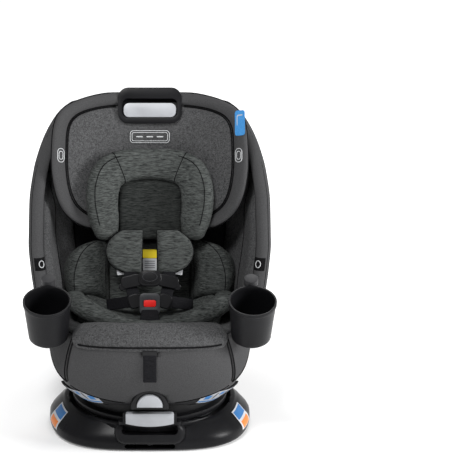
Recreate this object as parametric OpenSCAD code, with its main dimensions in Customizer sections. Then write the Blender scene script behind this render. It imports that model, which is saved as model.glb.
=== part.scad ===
// Convertible car seat: a bucket seat that swivels and reclines on a low base.
// Origin: on the floor under the swivel axis. +Z is up and the seat faces -Y.

/* [Base] */
// Full width of the base over its brim
base_w = 434; // [420:1:450]
// Distance from the swivel axis to the front of the base
base_front = 178; // [170:1:184]
// Distance from the swivel axis to the rear of the base
base_rear = 345; // [335:1:360]
// Height of the brim's top face
brim_z = 58; // [54:1:58]
// Height of the rear tower that the vehicle belt runs through
tower_z = 205; // [150:1:212]
// Radius that the rear tower leaves free for the turning seat
tower_clear_r = 292; // [288:1:300]
// Moulded wall thickness of the base
base_wall = 5; // [4:0.5:6]

/* [Swivel] */
// Radius of the turntable disc
turntable_r = 165; // [155:1:168]
// Height of the turntable's top face
turntable_z = 70; // [68:1:71]
// Radius of the steel spindle
spindle_r = 22; // [16:1:24]
// Number of balls in the swivel bearing
ball_count = 28; // [12:1:32]

/* [Recline] */
// Depth of the recline centre, the middle of the curved underside
recline_y = -60; // [-65:1:-55]
// Height of the recline centre
recline_z = 430; // [428:1:432]
// Radius of the curved underside about the recline centre
rocker_r = 345; // [343:1:346]

/* [Seat] */
// Lean of the backrest from upright
back_lean = 21; // [20:0.5:22]
// Wall thickness of the moulded seat shell
shell_wall = 7; // [5:0.5:8]
// Width of the harness webbing
webbing_w = 26; // [24:1:38]

/* [Cup holders] */
// Outer radius of a cup holder's rim
cup_rim_r = 48; // [46:0.5:49]
// Outer radius of a cup holder's floor
cup_floor_r = 40; // [39:0.5:42]
// Depth of a cup holder
cup_depth = 95; // [85:1:97]
// Sideways distance from the middle of the seat to a cup's axis
cup_x = 204; // [203:1:206]
// Forward tilt of a cup holder
cup_tilt = 20; // [18:1:21]

/* [Hidden] */

$fn = 48;
ring_points = 48;      // points round a lofted ring
eps = 0.3;             // gap left between pieces on different bodies
pan_z = 6;             // top of the base pan
deck_z = 44;           // floor of the round recess in the base
recess_r = turntable_r + 7;
race_z = 4;            // thickness of a bearing race
race_in_r = 128;
race_out_r = 148;
ball_r = 3.5;
ball_ring_r = (race_in_r + race_out_r) / 2;
disc_z = deck_z + 2 * race_z + 2 * ball_r; // underside of the turntable disc
bite_y = 40;           // where the backrest meets the seat
bite_z = 235;
rim_z = 256;           // top rim of the lower shell
runner_x = 90;         // sideways place of a recline runner
cup_y = -198;          // middle of a cup's rim
cup_z = 337;
dark = [0.10, 0.10, 0.11];
black = [0.05, 0.05, 0.055];
grey_fabric = [0.33, 0.33, 0.33];
heather = [0.22, 0.22, 0.225];
silver = [0.74, 0.75, 0.77];
steel = [0.6, 0.61, 0.63];

// Signed power, for rounded-square outlines
function spow(v, e) = sign(v) * pow(abs(v), e);
// Mean of a list of points
function middle(p) = [for (k = [0:2]) sum([for (q = p) q[k]]) / len(p)];
function sum(v, i = 0) = i >= len(v) ? 0 : v[i] + sum(v, i + 1);
// A range with its end value included
function steps(a, b, n) = [for (i = [0:n]) a + (b - a) * i / n];

// Closed solid through a stack of rings, each counter-clockwise as seen from the last ring's side
module loft(rings) {
  n = len(rings[0]);
  m = len(rings);
  polyhedron(
    points = concat([for (r = rings) each r], [middle(rings[0]), middle(rings[m - 1])]),
    faces = concat(
      [for (i = [0:m - 2], j = [0:n - 1]) let (a = i * n + j, b = i * n + (j + 1) % n)
        each [[a, a + n, b + n], [a, b + n, b]]],
      [for (j = [0:n - 1]) [m * n, j, (j + 1) % n]],
      [for (j = [0:n - 1]) [m * n + 1, (m - 1) * n + (j + 1) % n, (m - 1) * n + j]]));
}

// Closed solid between two grids of points; the front grid's rows rise and its columns run right
module slab(front, back) {
  m = len(front);
  n = len(front[0]);
  o = m * n;
  polyhedron(
    points = concat([for (r = front) each r], [for (r = back) each r]),
    faces = concat(
      [for (i = [0:m - 2], j = [0:n - 2]) let (a = i * n + j)
        each [[a, a + n, a + n + 1], [a, a + n + 1, a + 1],
          [o + a, o + a + 1, o + a + n + 1], [o + a, o + a + n + 1, o + a + n]]],
      [for (j = [0:n - 2]) let (a = j, t = (m - 1) * n + j)
        each [[a, a + 1, o + a + 1], [a, o + a + 1, o + a],
          [t + 1, t, o + t], [t + 1, o + t, o + t + 1]]],
      [for (i = [0:m - 2]) let (a = i * n, r = i * n + n - 1)
        each [[a + n, a, o + a], [a + n, o + a, o + a + n],
          [r, r + n, o + r + n], [r, o + r + n, o + r]]]));
}

// Block with rounded vertical edges, standing on its base
module rounded_block(size, r) {
  linear_extrude(size[2]) union() {
    square([size[0] - 2 * r, size[1]], center = true);
    square([size[0], size[1] - 2 * r], center = true);
    for (x = [-1, 1], y = [-1, 1])
      translate([x * (size[0] / 2 - r), y * (size[1] / 2 - r)]) circle(r);
  }
}

// The same block with its rounded edges along Y, its front face at y = 0 and its middle at z = 0
module face_block(w, h, t, r) {
  rotate([-90, 0, 0]) rounded_block([w, h, t], r);
}

module ring(ro, ri, h) {
  difference() {
    cylinder(r = ro, h = h);
    translate([0, 0, -1]) cylinder(r = ri, h = h + 2);
  }
}

// Strap through a list of [x, y, z] middles, with its width along X
module band(path, w, t) {
  slab([for (p = path) [for (x = [-w / 2, w / 2]) [p[0] + x, p[1] - t / 2, p[2]]]],
    [for (p = path) [for (x = [-w / 2, w / 2]) [p[0] + x, p[1] + t / 2, p[2]]]]);
}

// Coil spring along Z
module coil(r, wire_r, h, turns) {
  per_turn = 14;
  loft([for (i = [0:turns * per_turn]) let (a = 360 * i / per_turn, z = h * i / (turns * per_turn))
    [for (k = [0:7]) let (b = -45 * k) [(r + wire_r * cos(b)) * cos(a), (r + wire_r * cos(b)) * sin(a),
      z + wire_r * sin(b)]]]);
}

// ---- Base ----
base_half_w = [[0, 209], [10, 217], [24, 215], [40, 201], [52, 187], [58, 179]];
base_inset = [[0, 6], [10, 0], [24, 2], [40, 12], [52, 22], [58, 29]];
base_square = 3.4;
// How far each side of the base draws in behind the turntable, by depth and by height
base_waist = [[-80, 0], [10, 0], [40, 5], [70, 15], [100, 33], [200, 33], [225, 24], [260, 9], [285, 0]];
waist_share = [[24, 1], [58, 0.85]];

function base_ring(z, off = 0) = let (w = lookup(z, base_half_w) * base_w / 434 + off,
  f = -base_front + lookup(z, base_inset) - off, b = base_rear - lookup(z, base_inset) / 2 + off)
  [for (i = [0:ring_points - 1]) let (a = 360 * i / ring_points,
    y = (f + b) / 2 + (b - f) / 2 * spow(sin(a), 2 / base_square))
    [(w - lookup(y, base_waist) * lookup(z, waist_share)) * spow(cos(a), 2 / base_square), y, z]];
function at_height(ring, z) = [for (p = ring) [p[0], p[1], z]];

screw_places = [[-150, -95], [150, -95], [-160, 90], [160, 90], [-120, 250], [120, 250]];
pad_places = [[-130, -90], [130, -90], [-128, 200], [128, 200]];

module base_pan() {
  color(dark) difference() {
    loft([for (z = [0, 3, pan_z]) at_height(base_ring(z, -base_wall - 0.5), z)]);
    for (p = screw_places) translate([p[0], p[1], -1]) {
      cylinder(r = 2.6, h = 12);
      cylinder(r = 5, h = 4);
    }
    for (p = pad_places) translate([p[0], p[1], -1]) rounded_block([70, 46, 3.5], 8);
  }
}

module grip_pads() {
  color(black) difference() {
    for (p = pad_places) translate([p[0], p[1], 0]) rounded_block([69.6, 45.6, 2.4], 8);
    for (p = screw_places) translate([p[0], p[1], -1]) cylinder(r = 5.2, h = 5);
  }
}

module base_screws() {
  color(steel) for (p = screw_places) translate([p[0], p[1], 0]) {
    translate([0, 0, 0.4]) cylinder(r = 4.8, h = 2.4);
    translate([0, 0, 2]) cylinder(r = 2.4, h = 22);
  }
}

module base_shell() {
  color(black) difference() {
    union() {
      difference() {
        loft([for (z = [1.5, 10, 17, 24, 32, 40, 46, 52, brim_z]) base_ring(z)]);
        loft([for (z = [0, 10, 24, 34, 38]) at_height(base_ring(z, -base_wall), z == 0 ? -1 : z)]);
      }
      tower();
      translate([0, -188, 43]) face_block(144, 46, 20, 16);
      for (p = screw_places) translate([p[0], p[1], pan_z]) cylinder(r = 7, h = 33);
      translate([0, 0, 14]) cylinder(r = 38, h = 27);
    }
    translate([0, 0, deck_z]) cylinder(r = recess_r, h = 60, $fn = 96);
    translate([0, 0, 10]) cylinder(r = 30, h = 60);
    for (p = screw_places) translate([p[0], p[1], pan_z - 1]) cylinder(r = 2.5, h = 20);
    translate([0, lock_pin_y, 30]) cylinder(r = lock_pin_r + 0.3, h = 30);
    // Finger cavity under the rotation handle, and the slot in the front wall
    translate([0, -189, 52]) face_block(124, 22, 16, 10);
    translate([0, -base_front - 14, 12]) face_block(104, 11, 20, 4);
    translate([-tower_half_w - 30, lockoff_y, lockoff_z]) rotate([0, 90, 0]) cylinder(r = lockoff_pin_r + 0.05, h = 70);
  }
}

tower_half_w = 170;
module tower() {
  difference() {
    intersection() {
      loft([for (z = [30, tower_z]) at_height(base_ring(20, -6), z)]);
      translate([0, 300, 30 + (tower_z - 30) / 2]) cube([2 * tower_half_w, 150, tower_z - 30], center = true);
    }
    translate([0, 0, 20]) cylinder(r = tower_clear_r, h = 300, $fn = 96);
    difference() {
      intersection() {
        loft([for (z = [0, tower_z - 8]) at_height(base_ring(20, -13), z)]);
        translate([0, 300, 100]) cube([2 * tower_half_w - 14, 200, 400], center = true);
      }
      cylinder(r = tower_clear_r + 7, h = 300, $fn = 96);
      translate([-tower_half_w, lockoff_y, lockoff_z]) rotate([0, 90, 0]) cylinder(r = 12, h = 50);
    }
  }
}

// ---- Swivel bearing ----
module bearing_lower_race() {
  color(steel) translate([0, 0, deck_z]) ring(race_out_r, race_in_r, race_z);
}

module bearing_balls() {
  color(silver) for (i = [0:ball_count - 1])
    rotate([0, 0, 360 * i / ball_count]) translate([ball_ring_r, 0, deck_z + race_z + ball_r]) sphere(r = ball_r - 0.05);
}

module bearing_upper_race() {
  color(steel) translate([0, 0, disc_z - race_z]) ring(race_out_r, race_in_r, race_z);
}

module spindle_bushing() {
  color([0.7, 0.68, 0.6]) translate([0, 0, 14.5]) ring(30, spindle_r + 0.05, deck_z - 14.5);
}

module swivel_spindle() {
  color(steel) union() {
    translate([0, 0, 9]) cylinder(r = spindle_r, h = disc_z - 9 - 0.1);
    translate([0, 0, 9]) cylinder(r = 34, h = 5);
  }
}

bolt_ring_r = 60;
module turntable_disc() {
  color(black) difference() {
    translate([0, 0, disc_z]) cylinder(r = turntable_r, h = turntable_z - disc_z, $fn = 96);
    for (i = [0:3]) rotate([0, 0, 45 + 90 * i]) translate([bolt_ring_r, 0, 0]) cylinder(r = 3.05, h = 100);
  }
}

// ---- Rotation handle and its lock ----
lock_pin_y = -157;
lock_pin_r = 5;
handle_bar_w = 98;
handle_bar_h = 28;
handle_bar_z = 82;
nose_z = 66.1;
handle_riser_y = -190;

module rotation_handle_housing() {
  color(black) difference() {
    union() {
      translate([0, handle_riser_y + 12, nose_z]) rounded_block([128, 22, 6], 6);
      translate([0, handle_riser_y, nose_z + 14]) face_block(110, 28, 4.5, 6);
    }
    for (x = [-30, 30]) translate([x, -210, handle_bar_z]) rotate([-90, 0, 0]) cylinder(r = 2.5, h = 60);
  }
}

module rotation_handle() {
  color(silver) union() {
    intersection() {
      translate([0, handle_riser_y - 13, handle_bar_z]) face_block(handle_bar_w, handle_bar_h, 12.4, 4);
      translate([0, handle_riser_y - 20, handle_bar_z + 170]) rotate([-90, 0, 0]) cylinder(r = 170 + handle_bar_h / 2, h = 40, $fn = 96);
    }
    for (x = [-30, 30]) translate([x, handle_riser_y - 1, handle_bar_z]) rotate([-90, 0, 0]) {
      cylinder(r = 2.2, h = 15);
      translate([0, 0, 14]) cylinder(r = 4, h = 2);
    }
  }
}

module rotation_lock_pin() {
  color(steel) translate([0, lock_pin_y, 32]) cylinder(r = lock_pin_r, h = disc_z - 32 - eps);
}

module rotation_handle_springs() {
  color(steel) translate([0, lock_pin_y, pan_z + 1]) coil(5, 0.8, 17, 5);
}

// ---- Belt lock-off on the tower's side ----
lockoff_y = 256;
lockoff_z = 172;
lockoff_pin_r = 5;
lockoff_tip = [298, 80];
lockoff_x = -tower_half_w - 4;

module belt_lockoff_arm() {
  thick = 15;
  reach = [lockoff_tip[0] - lockoff_y, lockoff_tip[1] - lockoff_z];
  color([0.05, 0.28, 0.8]) translate([lockoff_x, lockoff_y, lockoff_z]) rotate([0, -90, 0]) difference() {
    union() {
      cylinder(r = 13, h = thick);
      translate([reach[1], reach[0], 0]) cylinder(r = 9, h = thick);
      rotate([0, 0, atan2(reach[0], reach[1])]) translate([norm(reach) / 2, 0, thick / 2])
        cube([norm(reach), 15, thick - 1], center = true);
    }
    translate([0, 0, -1]) cylinder(r = lockoff_pin_r + 0.05, h = thick + 2);
    rotate([0, 0, atan2(reach[0], reach[1])]) translate([norm(reach) / 2 + 6, 0, thick / 2])
      cube([norm(reach) - 56, 6, 40], center = true);
  }
}

module lockoff_hinge_pin() {
  color(steel) translate([lockoff_x - 19, lockoff_y, lockoff_z]) rotate([0, 90, 0]) union() {
    cylinder(r = lockoff_pin_r, h = 50);
    cylinder(r = 8, h = 3.5);
  }
}

// ---- Recline cradle on the turntable ----
module about_recline() {
  translate([0, recline_y, recline_z]) rotate([0, 90, 0]) children();
}

module recline_cradle() {
  cradle_r = 150;
  cradle_top = 132;
  color(dark) difference() {
    translate([0, 0, turntable_z]) cylinder(r = cradle_r, h = cradle_top - turntable_z, $fn = 96);
    about_recline() cylinder(r = rocker_r + 1, h = 400, center = true, $fn = 160);
    for (x = [-1, 1]) translate([x * runner_x, 0, 0])
      about_recline() cylinder(r = rocker_r + 8.5, h = 14, center = true, $fn = 160);
    translate([0, 30, turntable_z + 76]) rounded_block([136, 176, 140], 20);
    translate([0, 40, turntable_z + 6]) rounded_block([120, 150, 140], 12);
    for (i = [0:3]) rotate([0, 0, 45 + 90 * i]) translate([bolt_ring_r, 0, 0]) cylinder(r = 3.05, h = 200);
  }
}

module cradle_bolts() {
  color(steel) for (i = [0:3]) rotate([0, 0, 45 + 90 * i]) translate([bolt_ring_r, 0, 0]) {
    translate([0, 0, disc_z + 1]) cylinder(r = 3, h = 16);
  }
}

module recline_runners() {
  color(steel) for (x = [-1, 1]) translate([x * runner_x, 0, 0]) intersection() {
    about_recline() difference() {
      cylinder(r = rocker_r + 8, h = 12, center = true, $fn = 160);
      cylinder(r = rocker_r + 0.05, h = 14, center = true, $fn = 160);
    }
    translate([0, recline_y + 90, 100]) cube([20, 270, 80], center = true);
  }
}

// ---- Lower seat shell ----
bowl_half_w = [[78, 114], [100, 150], [120, 176], [145, 200], [180, 210], [220, 213], [256, 214]];
bowl_front = [[78, -166], [100, -184], [120, -196], [145, -208], [180, -220], [220, -226], [256, -226]];
bowl_rear = [[78, 46], [100, 78], [120, 102], [145, 132], [180, 160], [220, 180], [256, 192]];
bowl_taper = [[78, 0], [145, 0.05], [200, 0.14], [256, 0.27]];   // narrowing towards the front
bowl_flare = 0.05;                                               // widening towards the rear
bowl_square = [[78, 2.4], [256, 3.5]];

// Point on the lower shell at a height, counted counter-clockwise from +X
function bowl_point(a, z, off = 0) = let (w = lookup(z, bowl_half_w) + off,
  f = lookup(z, bowl_front) - off, b = lookup(z, bowl_rear) + off, e = 2 / lookup(z, bowl_square),
  t = spow(sin(a), e))
  [w * spow(cos(a), e) * (1 + (t < 0 ? lookup(z, bowl_taper) : bowl_flare) * t), (f + b) / 2 + (b - f) / 2 * t, z];
function bowl_ring(z, off = 0) = [for (i = [0:ring_points - 1]) bowl_point(360 * i / ring_points, z, off)];
bowl_levels = [78, 90, 100, 110, 120, 132, 145, 162, 180, 200, 220, 240, 256];

module seat_shell_lower() {
  color(dark) difference() {
    intersection() {
      loft([for (z = bowl_levels) bowl_ring(z)]);
      about_recline() cylinder(r = rocker_r, h = 500, center = true, $fn = 160);
    }
    intersection() {
      loft([for (z = bowl_levels) at_height(bowl_ring(z, -5), z == rim_z ? rim_z + 1 : z)]);
      about_recline() cylinder(r = rocker_r - 6, h = 500, center = true, $fn = 160);
    }
    translate([0, recline_y, 60]) cylinder(r = latch_r + 0.3, h = 60);
    translate([0, -240, rod_z]) rotate([-90, 0, 0]) cylinder(r = rod_r + 0.3, h = 80);
    translate([0, -240, 238]) face_block(32, 16, 40, 3);
    recline_bezel();
  }
}

// ---- Recline handle, rod and latch ----
rod_z = 128;
rod_r = 3;
latch_r = 6;
moon_r = 26;

module recline_bezel() {
  color(black) translate([0, -212, 112]) rotate([-90, 0, 0]) difference() {
    intersection() {
      cylinder(r = 38, h = 11, $fn = 64);
      translate([-50, -50, -1]) cube([100, 52, 20]);
    }
    translate([0, 0, -1]) intersection() {
      translate([0, -4, 0]) cylinder(r = moon_r + 1.2, h = 8, $fn = 64);
      translate([-50, -60, 0]) cube([100, 57, 20]);
    }
    translate([0, 112 - rod_z, -1]) cylinder(r = rod_r + 0.3, h = 30);
  }
}

module recline_handle() {
  color(silver) translate([0, -218, 112]) rotate([-90, 0, 0]) intersection() {
    translate([0, -4, 0]) cylinder(r = moon_r, h = 11, $fn = 64);
    translate([-50, -60, -1]) cube([100, 55.5, 20]);
  }
}

module recline_link_rod() {
  color(steel) translate([0, -207, rod_z]) rotate([-90, 0, 0]) cylinder(r = rod_r, h = 135);
}

module recline_latch() {
  color(steel) translate([0, recline_y, 0]) union() {
    translate([0, 0, recline_z - rocker_r + 1]) cylinder(r = latch_r, h = 30);
    translate([0, 0, recline_z - rocker_r + 24]) cylinder(r = 11, h = 6);
  }
}

// ---- Seat covers ----
// Fabric skin over the lower shell between two angles, with a bottom edge that may slope
function skin(a0, a1, n, z0, z1, off) = [for (k = steps(0, 1, 6)) [for (i = [0:n]) let (
  a = a0 + (a1 - a0) * i / n) bowl_point(a, z0[0] + (z0[1] - z0[0]) * pow(abs(2 * i / n - 1), 2)
  + (z1 - (z0[0] + (z0[1] - z0[0]) * pow(abs(2 * i / n - 1), 2))) * k, off)]];

module front_panel() {
  color(grey_fabric) difference() {
    slab(skin(219, 321, 34, [116, 144], 254, 5), skin(219, 321, 34, [116, 144], 254, 0.8));
    seat_shell_lower();
    translate([0, -240, 112]) rotate([-90, 0, 0]) cylinder(r = 38.5, h = 60);
    translate([0, -250, 238]) face_block(32, 16, 60, 3);
  }
}

// Sloping bottom edge from the front corner back to the side
function side_skin(off) = [for (k = steps(0, 1, 5)) [for (i = [0:8]) let (a = 323 + 50 * i / 8,
  z0 = 150 + 84 * pow(i / 8, 1.5)) bowl_point(a, z0 + (254 - z0) * k, off)]];

module side_cover_right() {
  color(grey_fabric) difference() {
    slab(side_skin(5), side_skin(0.5));
    seat_shell_lower();
  }
}

module side_cover_left() {
  mirror([1, 0, 0]) side_cover_right();
}

// ---- Back shell and wings ----
back_half_w = [[256, 219], [300, 230], [350, 241], [400, 247], [470, 247], [530, 240], [560, 231], [580, 222], [600, 210], [620, 194], [635, 174], [645, 150], [650, 128]];
back_front = [[256, -104], [260, -104], [290, -88], [330, -50], [400, 0], [470, 45], [530, 105], [560, 158], [580, 192], [600, 216], [620, 236], [635, 248], [645, 256], [650, 262]];
back_rear = [[256, 216], [300, 232], [400, 262], [500, 294], [590, 319], [604, 322], [620, 326], [635, 326], [645, 322], [650, 314]];

// Point on the back shell at a height: a is -90 at the left wing's edge, 0 at the rear, 90 at the right
function back_point(a, z, off = 0, drop = 0) = let (w = lookup(z, back_half_w) + off,
  f = lookup(z, back_front), b = lookup(z, back_rear) + off, e = 2 / 2.6)
  [w * spow(sin(a), e), f + (b - f) * pow(max(cos(a), 0), e), z - drop];
function back_grid(levels, angles, off, drop = 0) = [for (z = levels) [for (a = angles)
  back_point(a, z, off, drop * max(0, z - 620) / 30)]];
back_step = 180 / 28;
skin_gap = 0.8;   // room between a shell and the cover over it
back_levels = [256, 262, 290, 320, 350, 400, 440, 470, 500, 530, 545, 560, 580, 600, 610, 620, 628, 635, 645, 650];

module seat_shell_back() {
  angles = steps(-90, 90, 28);
  color(dark) difference() {
    slab(back_grid(back_levels, angles, -shell_wall, 6), back_grid(back_levels, angles, 0));
    cup_arm();
    mirror([1, 0, 0]) cup_arm();
  }
}

module back_cover() {
  levels = [for (z = back_levels) if (z <= 530) z];
  angles = steps(-45, 45, 14);
  color(black) slab(back_grid(levels, angles, skin_gap), back_grid(levels, angles, 5));
}

wing_levels = [for (z = back_levels) if (z >= 320 && z <= 635) z];
wing_angles = steps(90 - 6 * back_step, 90, 6);
module wing_cover_right() {
  color(grey_fabric) slab(back_grid(wing_levels, wing_angles, skin_gap), back_grid(wing_levels, wing_angles, 4.5));
}

module wing_cover_left() {
  mirror([1, 0, 0]) wing_cover_right();
}

bolster_t = [[262, 22], [330, 30], [440, 28], [490, 14], [520, 8]];
bolster_angles = steps(90 - 7 * back_step, 90 - back_step, 6);
function bolster_grid(inner) = [for (z = back_levels) if (z >= 262 && z <= 500)
  [for (a = bolster_angles) back_point(a, z, -shell_wall - skin_gap - (inner ? lookup(z, bolster_t) : 0))]];

module side_bolster_right() {
  color(heather) difference() {
    slab(bolster_grid(true), bolster_grid(false));
    cup_arm();
    back_pad_room();
  }
}

module side_bolster_left() {
  mirror([1, 0, 0]) side_bolster_right();
}

// ---- Seat cushion and thigh roll ----
cushion_top = [[-222, 256], [-160, 255], [-150, 254], [-100, 246], [0, 237], [100, 231], [190, 228]];
function cushion_z(y) = lookup(y, cushion_top);

module seat_cushion() {
  color(heather) difference() {
    seat_cushion_block();
    back_pad();
    translate([0, -245, 238]) face_block(32, 16, 35, 3);   // room behind the adjuster button
  }
}

module seat_cushion_block() {
  intersection() {
    loft([for (z = [200, 215, 230, 243, 255]) bowl_ring(z, -6)]);
    translate([-200, 0, 0]) rotate([90, 0, 90]) linear_extrude(400)
      polygon(concat([[-230, 190]], [for (y = [-222, -150, -100, -50, 0, 60]) [y, cushion_z(y)]],
        [[118, 225], [112, 190]]));
  }
}

module thigh_roll() {
  half_w = 158;
  color(heather) rotate([0, 90, 0]) mirror([0, 0, 1]) mirror([0, 0, 1])
    loft([for (x = steps(-half_w, half_w, 14)) let (u = x / half_w, s = pow(1 - pow(abs(u), 5) * 0.85, 0.5))
      [for (k = [0:15]) let (a = 360 * k / 15.999)
        [-(270.5 - 4 * u * u + 13 * s * sin(a)), -197 + 34 * pow(abs(u), 2.6) + 31 * s * cos(a), x]]]);
}

// ---- Backrest, in its own leaning frame: z along the back, -y towards the child ----
module on_back() {
  translate([0, bite_y, bite_z]) rotate([-back_lean, 0, 0]) children();
}

back_pad_half = [[-8, 140], [100, 160], [250, 165], [340, 150], [396, 120]];
module back_pad_room() {
  levels = [-12, 40, 100, 180, 260, 330, 370, 400];
  on_back() slab(
    [for (s = levels) [for (u = steps(-1, 1, 12)) [u * (lookup(s, back_pad_half) + 0.8), 45 + 6 * pow(abs(u), 6), s]]],
    [for (s = levels) [for (u = steps(-1, 1, 12)) [u * (lookup(s, back_pad_half) + 0.8), 130, s]]]);
}
module back_pad() {
  half_w = back_pad_half;
  levels = [-8, 40, 100, 180, 260, 330, 370, 396];
  color(heather) on_back() slab(
    [for (s = levels) [for (u = steps(-1, 1, 12)) [u * lookup(s, half_w), 46 + 6 * pow(abs(u), 6), s]]],
    [for (s = levels) [for (u = steps(-1, 1, 12)) [u * lookup(s, half_w), 74 - 4 * pow(abs(u), 6), s]]]);
}

rod_x = 45;
rod_depth = 85;
guide_rod_r = 5;

module headrest_guide_tubes() {
  color(dark) on_back() for (x = [-1, 1]) translate([x * rod_x, rod_depth, 205])
    ring(8.5, guide_rod_r + 0.3, 185);
}

module harness_splitter_plate() {
  color(steel) on_back() translate([0, 106, 90]) difference() {
    face_block(66, 44, 3, 8);
    translate([0, -1, -10]) face_block(30, 5, 6, 2);
    for (x = [-1, 1]) translate([x * 18, -1, 10]) face_block(24, 5, 6, 2);
  }
}

// ---- Infant insert ----
// Puffed side of the insert's backrest
module insert_side() {
  levels = [24, 32, 48, 80, 115, 138, 148];
  on_back() slab(
    [for (s = levels) [for (u = steps(0, 1, 8)) [90 + 78 * u, -10 - 24 * u - 42 * u * (1 - u)
      * lookup(s, [[24, 0.3], [48, 1], [115, 1], [148, 0.3]]), s]]],
    [for (s = levels) [for (u = steps(0, 1, 8)) [90 + 78 * u, 45, s]]]);
}

module infant_insert() {
  half_w = [[-112, 96], [-90, 132], [-50, 150], [0, 148], [48, 132]];
  levels = [-112, -100, -80, -50, -20, 15, 48];
  color(heather) difference() {
    for (m = [0, 1]) mirror([m, 0, 0]) insert_side();
    side_bolster_right();
    side_bolster_left();
    hip_straps();
  }
  color(heather) on_back() translate([0, 22, 80]) face_block(178, 120, 23, 12);
  color(heather) difference() {
    insert_seat(half_w, levels);
    crotch_strap();
    hip_straps();
  }
}

module insert_seat(half_w, levels) {
  slab(
    [for (y = levels) [for (u = steps(-1, 1, 16)) [u * lookup(y, half_w), y, cushion_z(y) + 12
      + (y < -95 ? 4 : 0) + 36 * pow(abs(u), 2.6) * lookup(y, [[-112, 0.35], [-80, 0.9], [0, 1], [48, 1]])]]],
    [for (y = levels) [for (u = steps(-1, 1, 16)) [u * lookup(y, half_w), y, cushion_z(y) + 1]]]);
}

// ---- Headrest ----
head_half_w = [[172, 142], [186, 166], [203, 184], [225, 194], [252, 202], [307, 208], [373, 206], [400, 202], [417, 195], [430, 186], [439, 176], [448, 158], [456, 136], [464, 104]];
head_wing = [[172, 54], [203, 64], [300, 82], [400, 66], [464, 30]];
function head_surface(x, s) = -lookup(s, head_wing) * pow(abs(x) / lookup(s, head_half_w), 2.4);
head_levels = [172, 179, 186, 203, 225, 252, 280, 307, 340, 373, 400, 417, 430, 439, 448, 456, 464];
function head_grid(depth, inset = 0) = [for (s = head_levels) [for (u = steps(-1, 1, 24)) let (
  x = u * (lookup(s, head_half_w) - inset)) [x, head_surface(x, s) + depth, s]]];
grip_s = 438;    // middle of the handle opening along the back

module grip_gap() {
  translate([0, -40, 481]) face_block(118, 70, 110, 10);
}

module headrest_frame() {
  color(dark) on_back() union() {
    slab(head_grid(12, 3), head_grid(36, 3));
    difference() {
      translate([0, -16, grip_s]) face_block(136, 76, 27.9, 22);
      translate([0, -20, grip_s - 6]) face_block(118, 41, 31.9, 12);
    }
    translate([0, -3, grip_s - 10.5]) face_block(120, 37, 3, 2);
  }
}

module headrest_rods() {
  color(steel) on_back() for (x = [-1, 1]) translate([x * rod_x, 0, 0]) union() {
    translate([0, rod_depth, 160]) cylinder(r = guide_rod_r, h = 280);
    translate([0, (rod_depth + 44) / 2, 433]) cube([16, rod_depth - 31, 14], center = true);
  }
}

module headrest_cover() {
  color(grey_fabric) on_back() difference() {
    slab(head_grid(0), head_grid(11.2));
    grip_gap();
    translate([0, -60, grip_s]) face_block(136.6, 76.6, 100, 22);
  }
}

module headrest_lever() {
  color(silver) on_back() translate([0, -15, grip_s - 10.5]) face_block(112, 30, 11, 12);
}

module headrest_lock_bar() {
  color(steel) on_back() translate([0, 62, 412]) face_block(70, 8, 10, 2);
}

support_half_w = [[144, 92], [160, 110], [200, 128], [250, 137], [300, 133], [330, 116], [348, 84]];
module infant_head_support() {
  levels = [144, 152, 165, 185, 210, 250, 290, 315, 335, 348];
  color([0.27, 0.28, 0.26]) on_back() difference() {
    slab(
      [for (s = levels) [for (u = steps(-1, 1, 18)) let (x = u * lookup(s, support_half_w))
        [x, head_surface(x, max(s, 203)) - 20 - 34 * pow(abs(u), 2) * (1 - 0.5 * pow(abs(u), 8)), s]]],
      [for (s = levels) [for (u = steps(-1, 1, 18)) let (x = u * lookup(s, support_half_w))
        [x, min(head_surface(x, max(s, 203)), head_surface(x, max(s, 172))) - 8.5, s]]]);
    translate([0, -67, 100]) face_block(190, 140, 16, 4);
  }
}

// ---- Harness ----
module harness_pad_right() {
  color([0.27, 0.28, 0.26]) difference() {
    harness_pad_block();
    shoulder_bands();
  }
}

module harness_pad_block() {
  inner = 14;
  outer = [[74, 58], [80, 70], [90, 81], [105, 90], [122, 93], [138, 88], [152, 76], [166, 54]];
  levels = [74, 80, 90, 105, 122, 138, 152, 166];
  on_back() slab(
    [for (s = levels) [for (u = steps(0, 1, 8)) [inner + u * (lookup(s, outer) - inner), -62 - 12 * u * (1 - u), s]]],
    [for (s = levels) [for (u = steps(0, 1, 8)) [inner + u * (lookup(s, outer) - inner), -52, s]]]);
}

module harness_pad_left() {
  mirror([1, 0, 0]) harness_pad_right();
}

module shoulder_straps() {
  color(black) difference() {
    shoulder_bands();
    buckle_housing();
    hip_straps();
  }
}

module shoulder_bands() {
  on_back() for (m = [0, 1]) mirror([m, 0, 0])
    band([[26, -108, 12], [30, -94, 24], [36, -76, 38], [40, -69.5, 50], [41, -68, 72], [41, -50, 90], [41, -50, 165]],
      webbing_w, 1.6);
}

module chest_clip() {
  color(black) difference() {
    on_back() translate([0, -84, 60]) difference() {
      face_block(122, 40, 12.5, 12);
      translate([0, -1, 6]) face_block(38, 26, 9, 11);
      for (x = [-1, 1]) translate([x * 40, 10, 0]) face_block(webbing_w + 1, 60, 10, 0.5);
    }
    shoulder_bands();
  }
}

module chest_clip_button() {
  color(black) on_back() translate([0, -86, 66]) face_block(37, 25, 7, 11);
}

module buckle_housing() {
  color(black) on_back() translate([0, -124, 8]) difference() {
    face_block(42, 44, 20, 9);
    translate([0, -1, 1]) face_block(26, 15, 11, 4);
    for (x = [-1, 1]) translate([x * 21, 13, 12]) cube([14, 4, 22], center = true);
  }
}

module buckle_button() {
  color([0.8, 0.08, 0.05]) on_back() translate([0, -125.5, 9]) face_block(25, 14, 7, 4);
}

module buckle_tongues() {
  color(steel) on_back() for (x = [-1, 1]) translate([x * 23, -111, 20]) cube([16, 2.4, 18], center = true);
}

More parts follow.
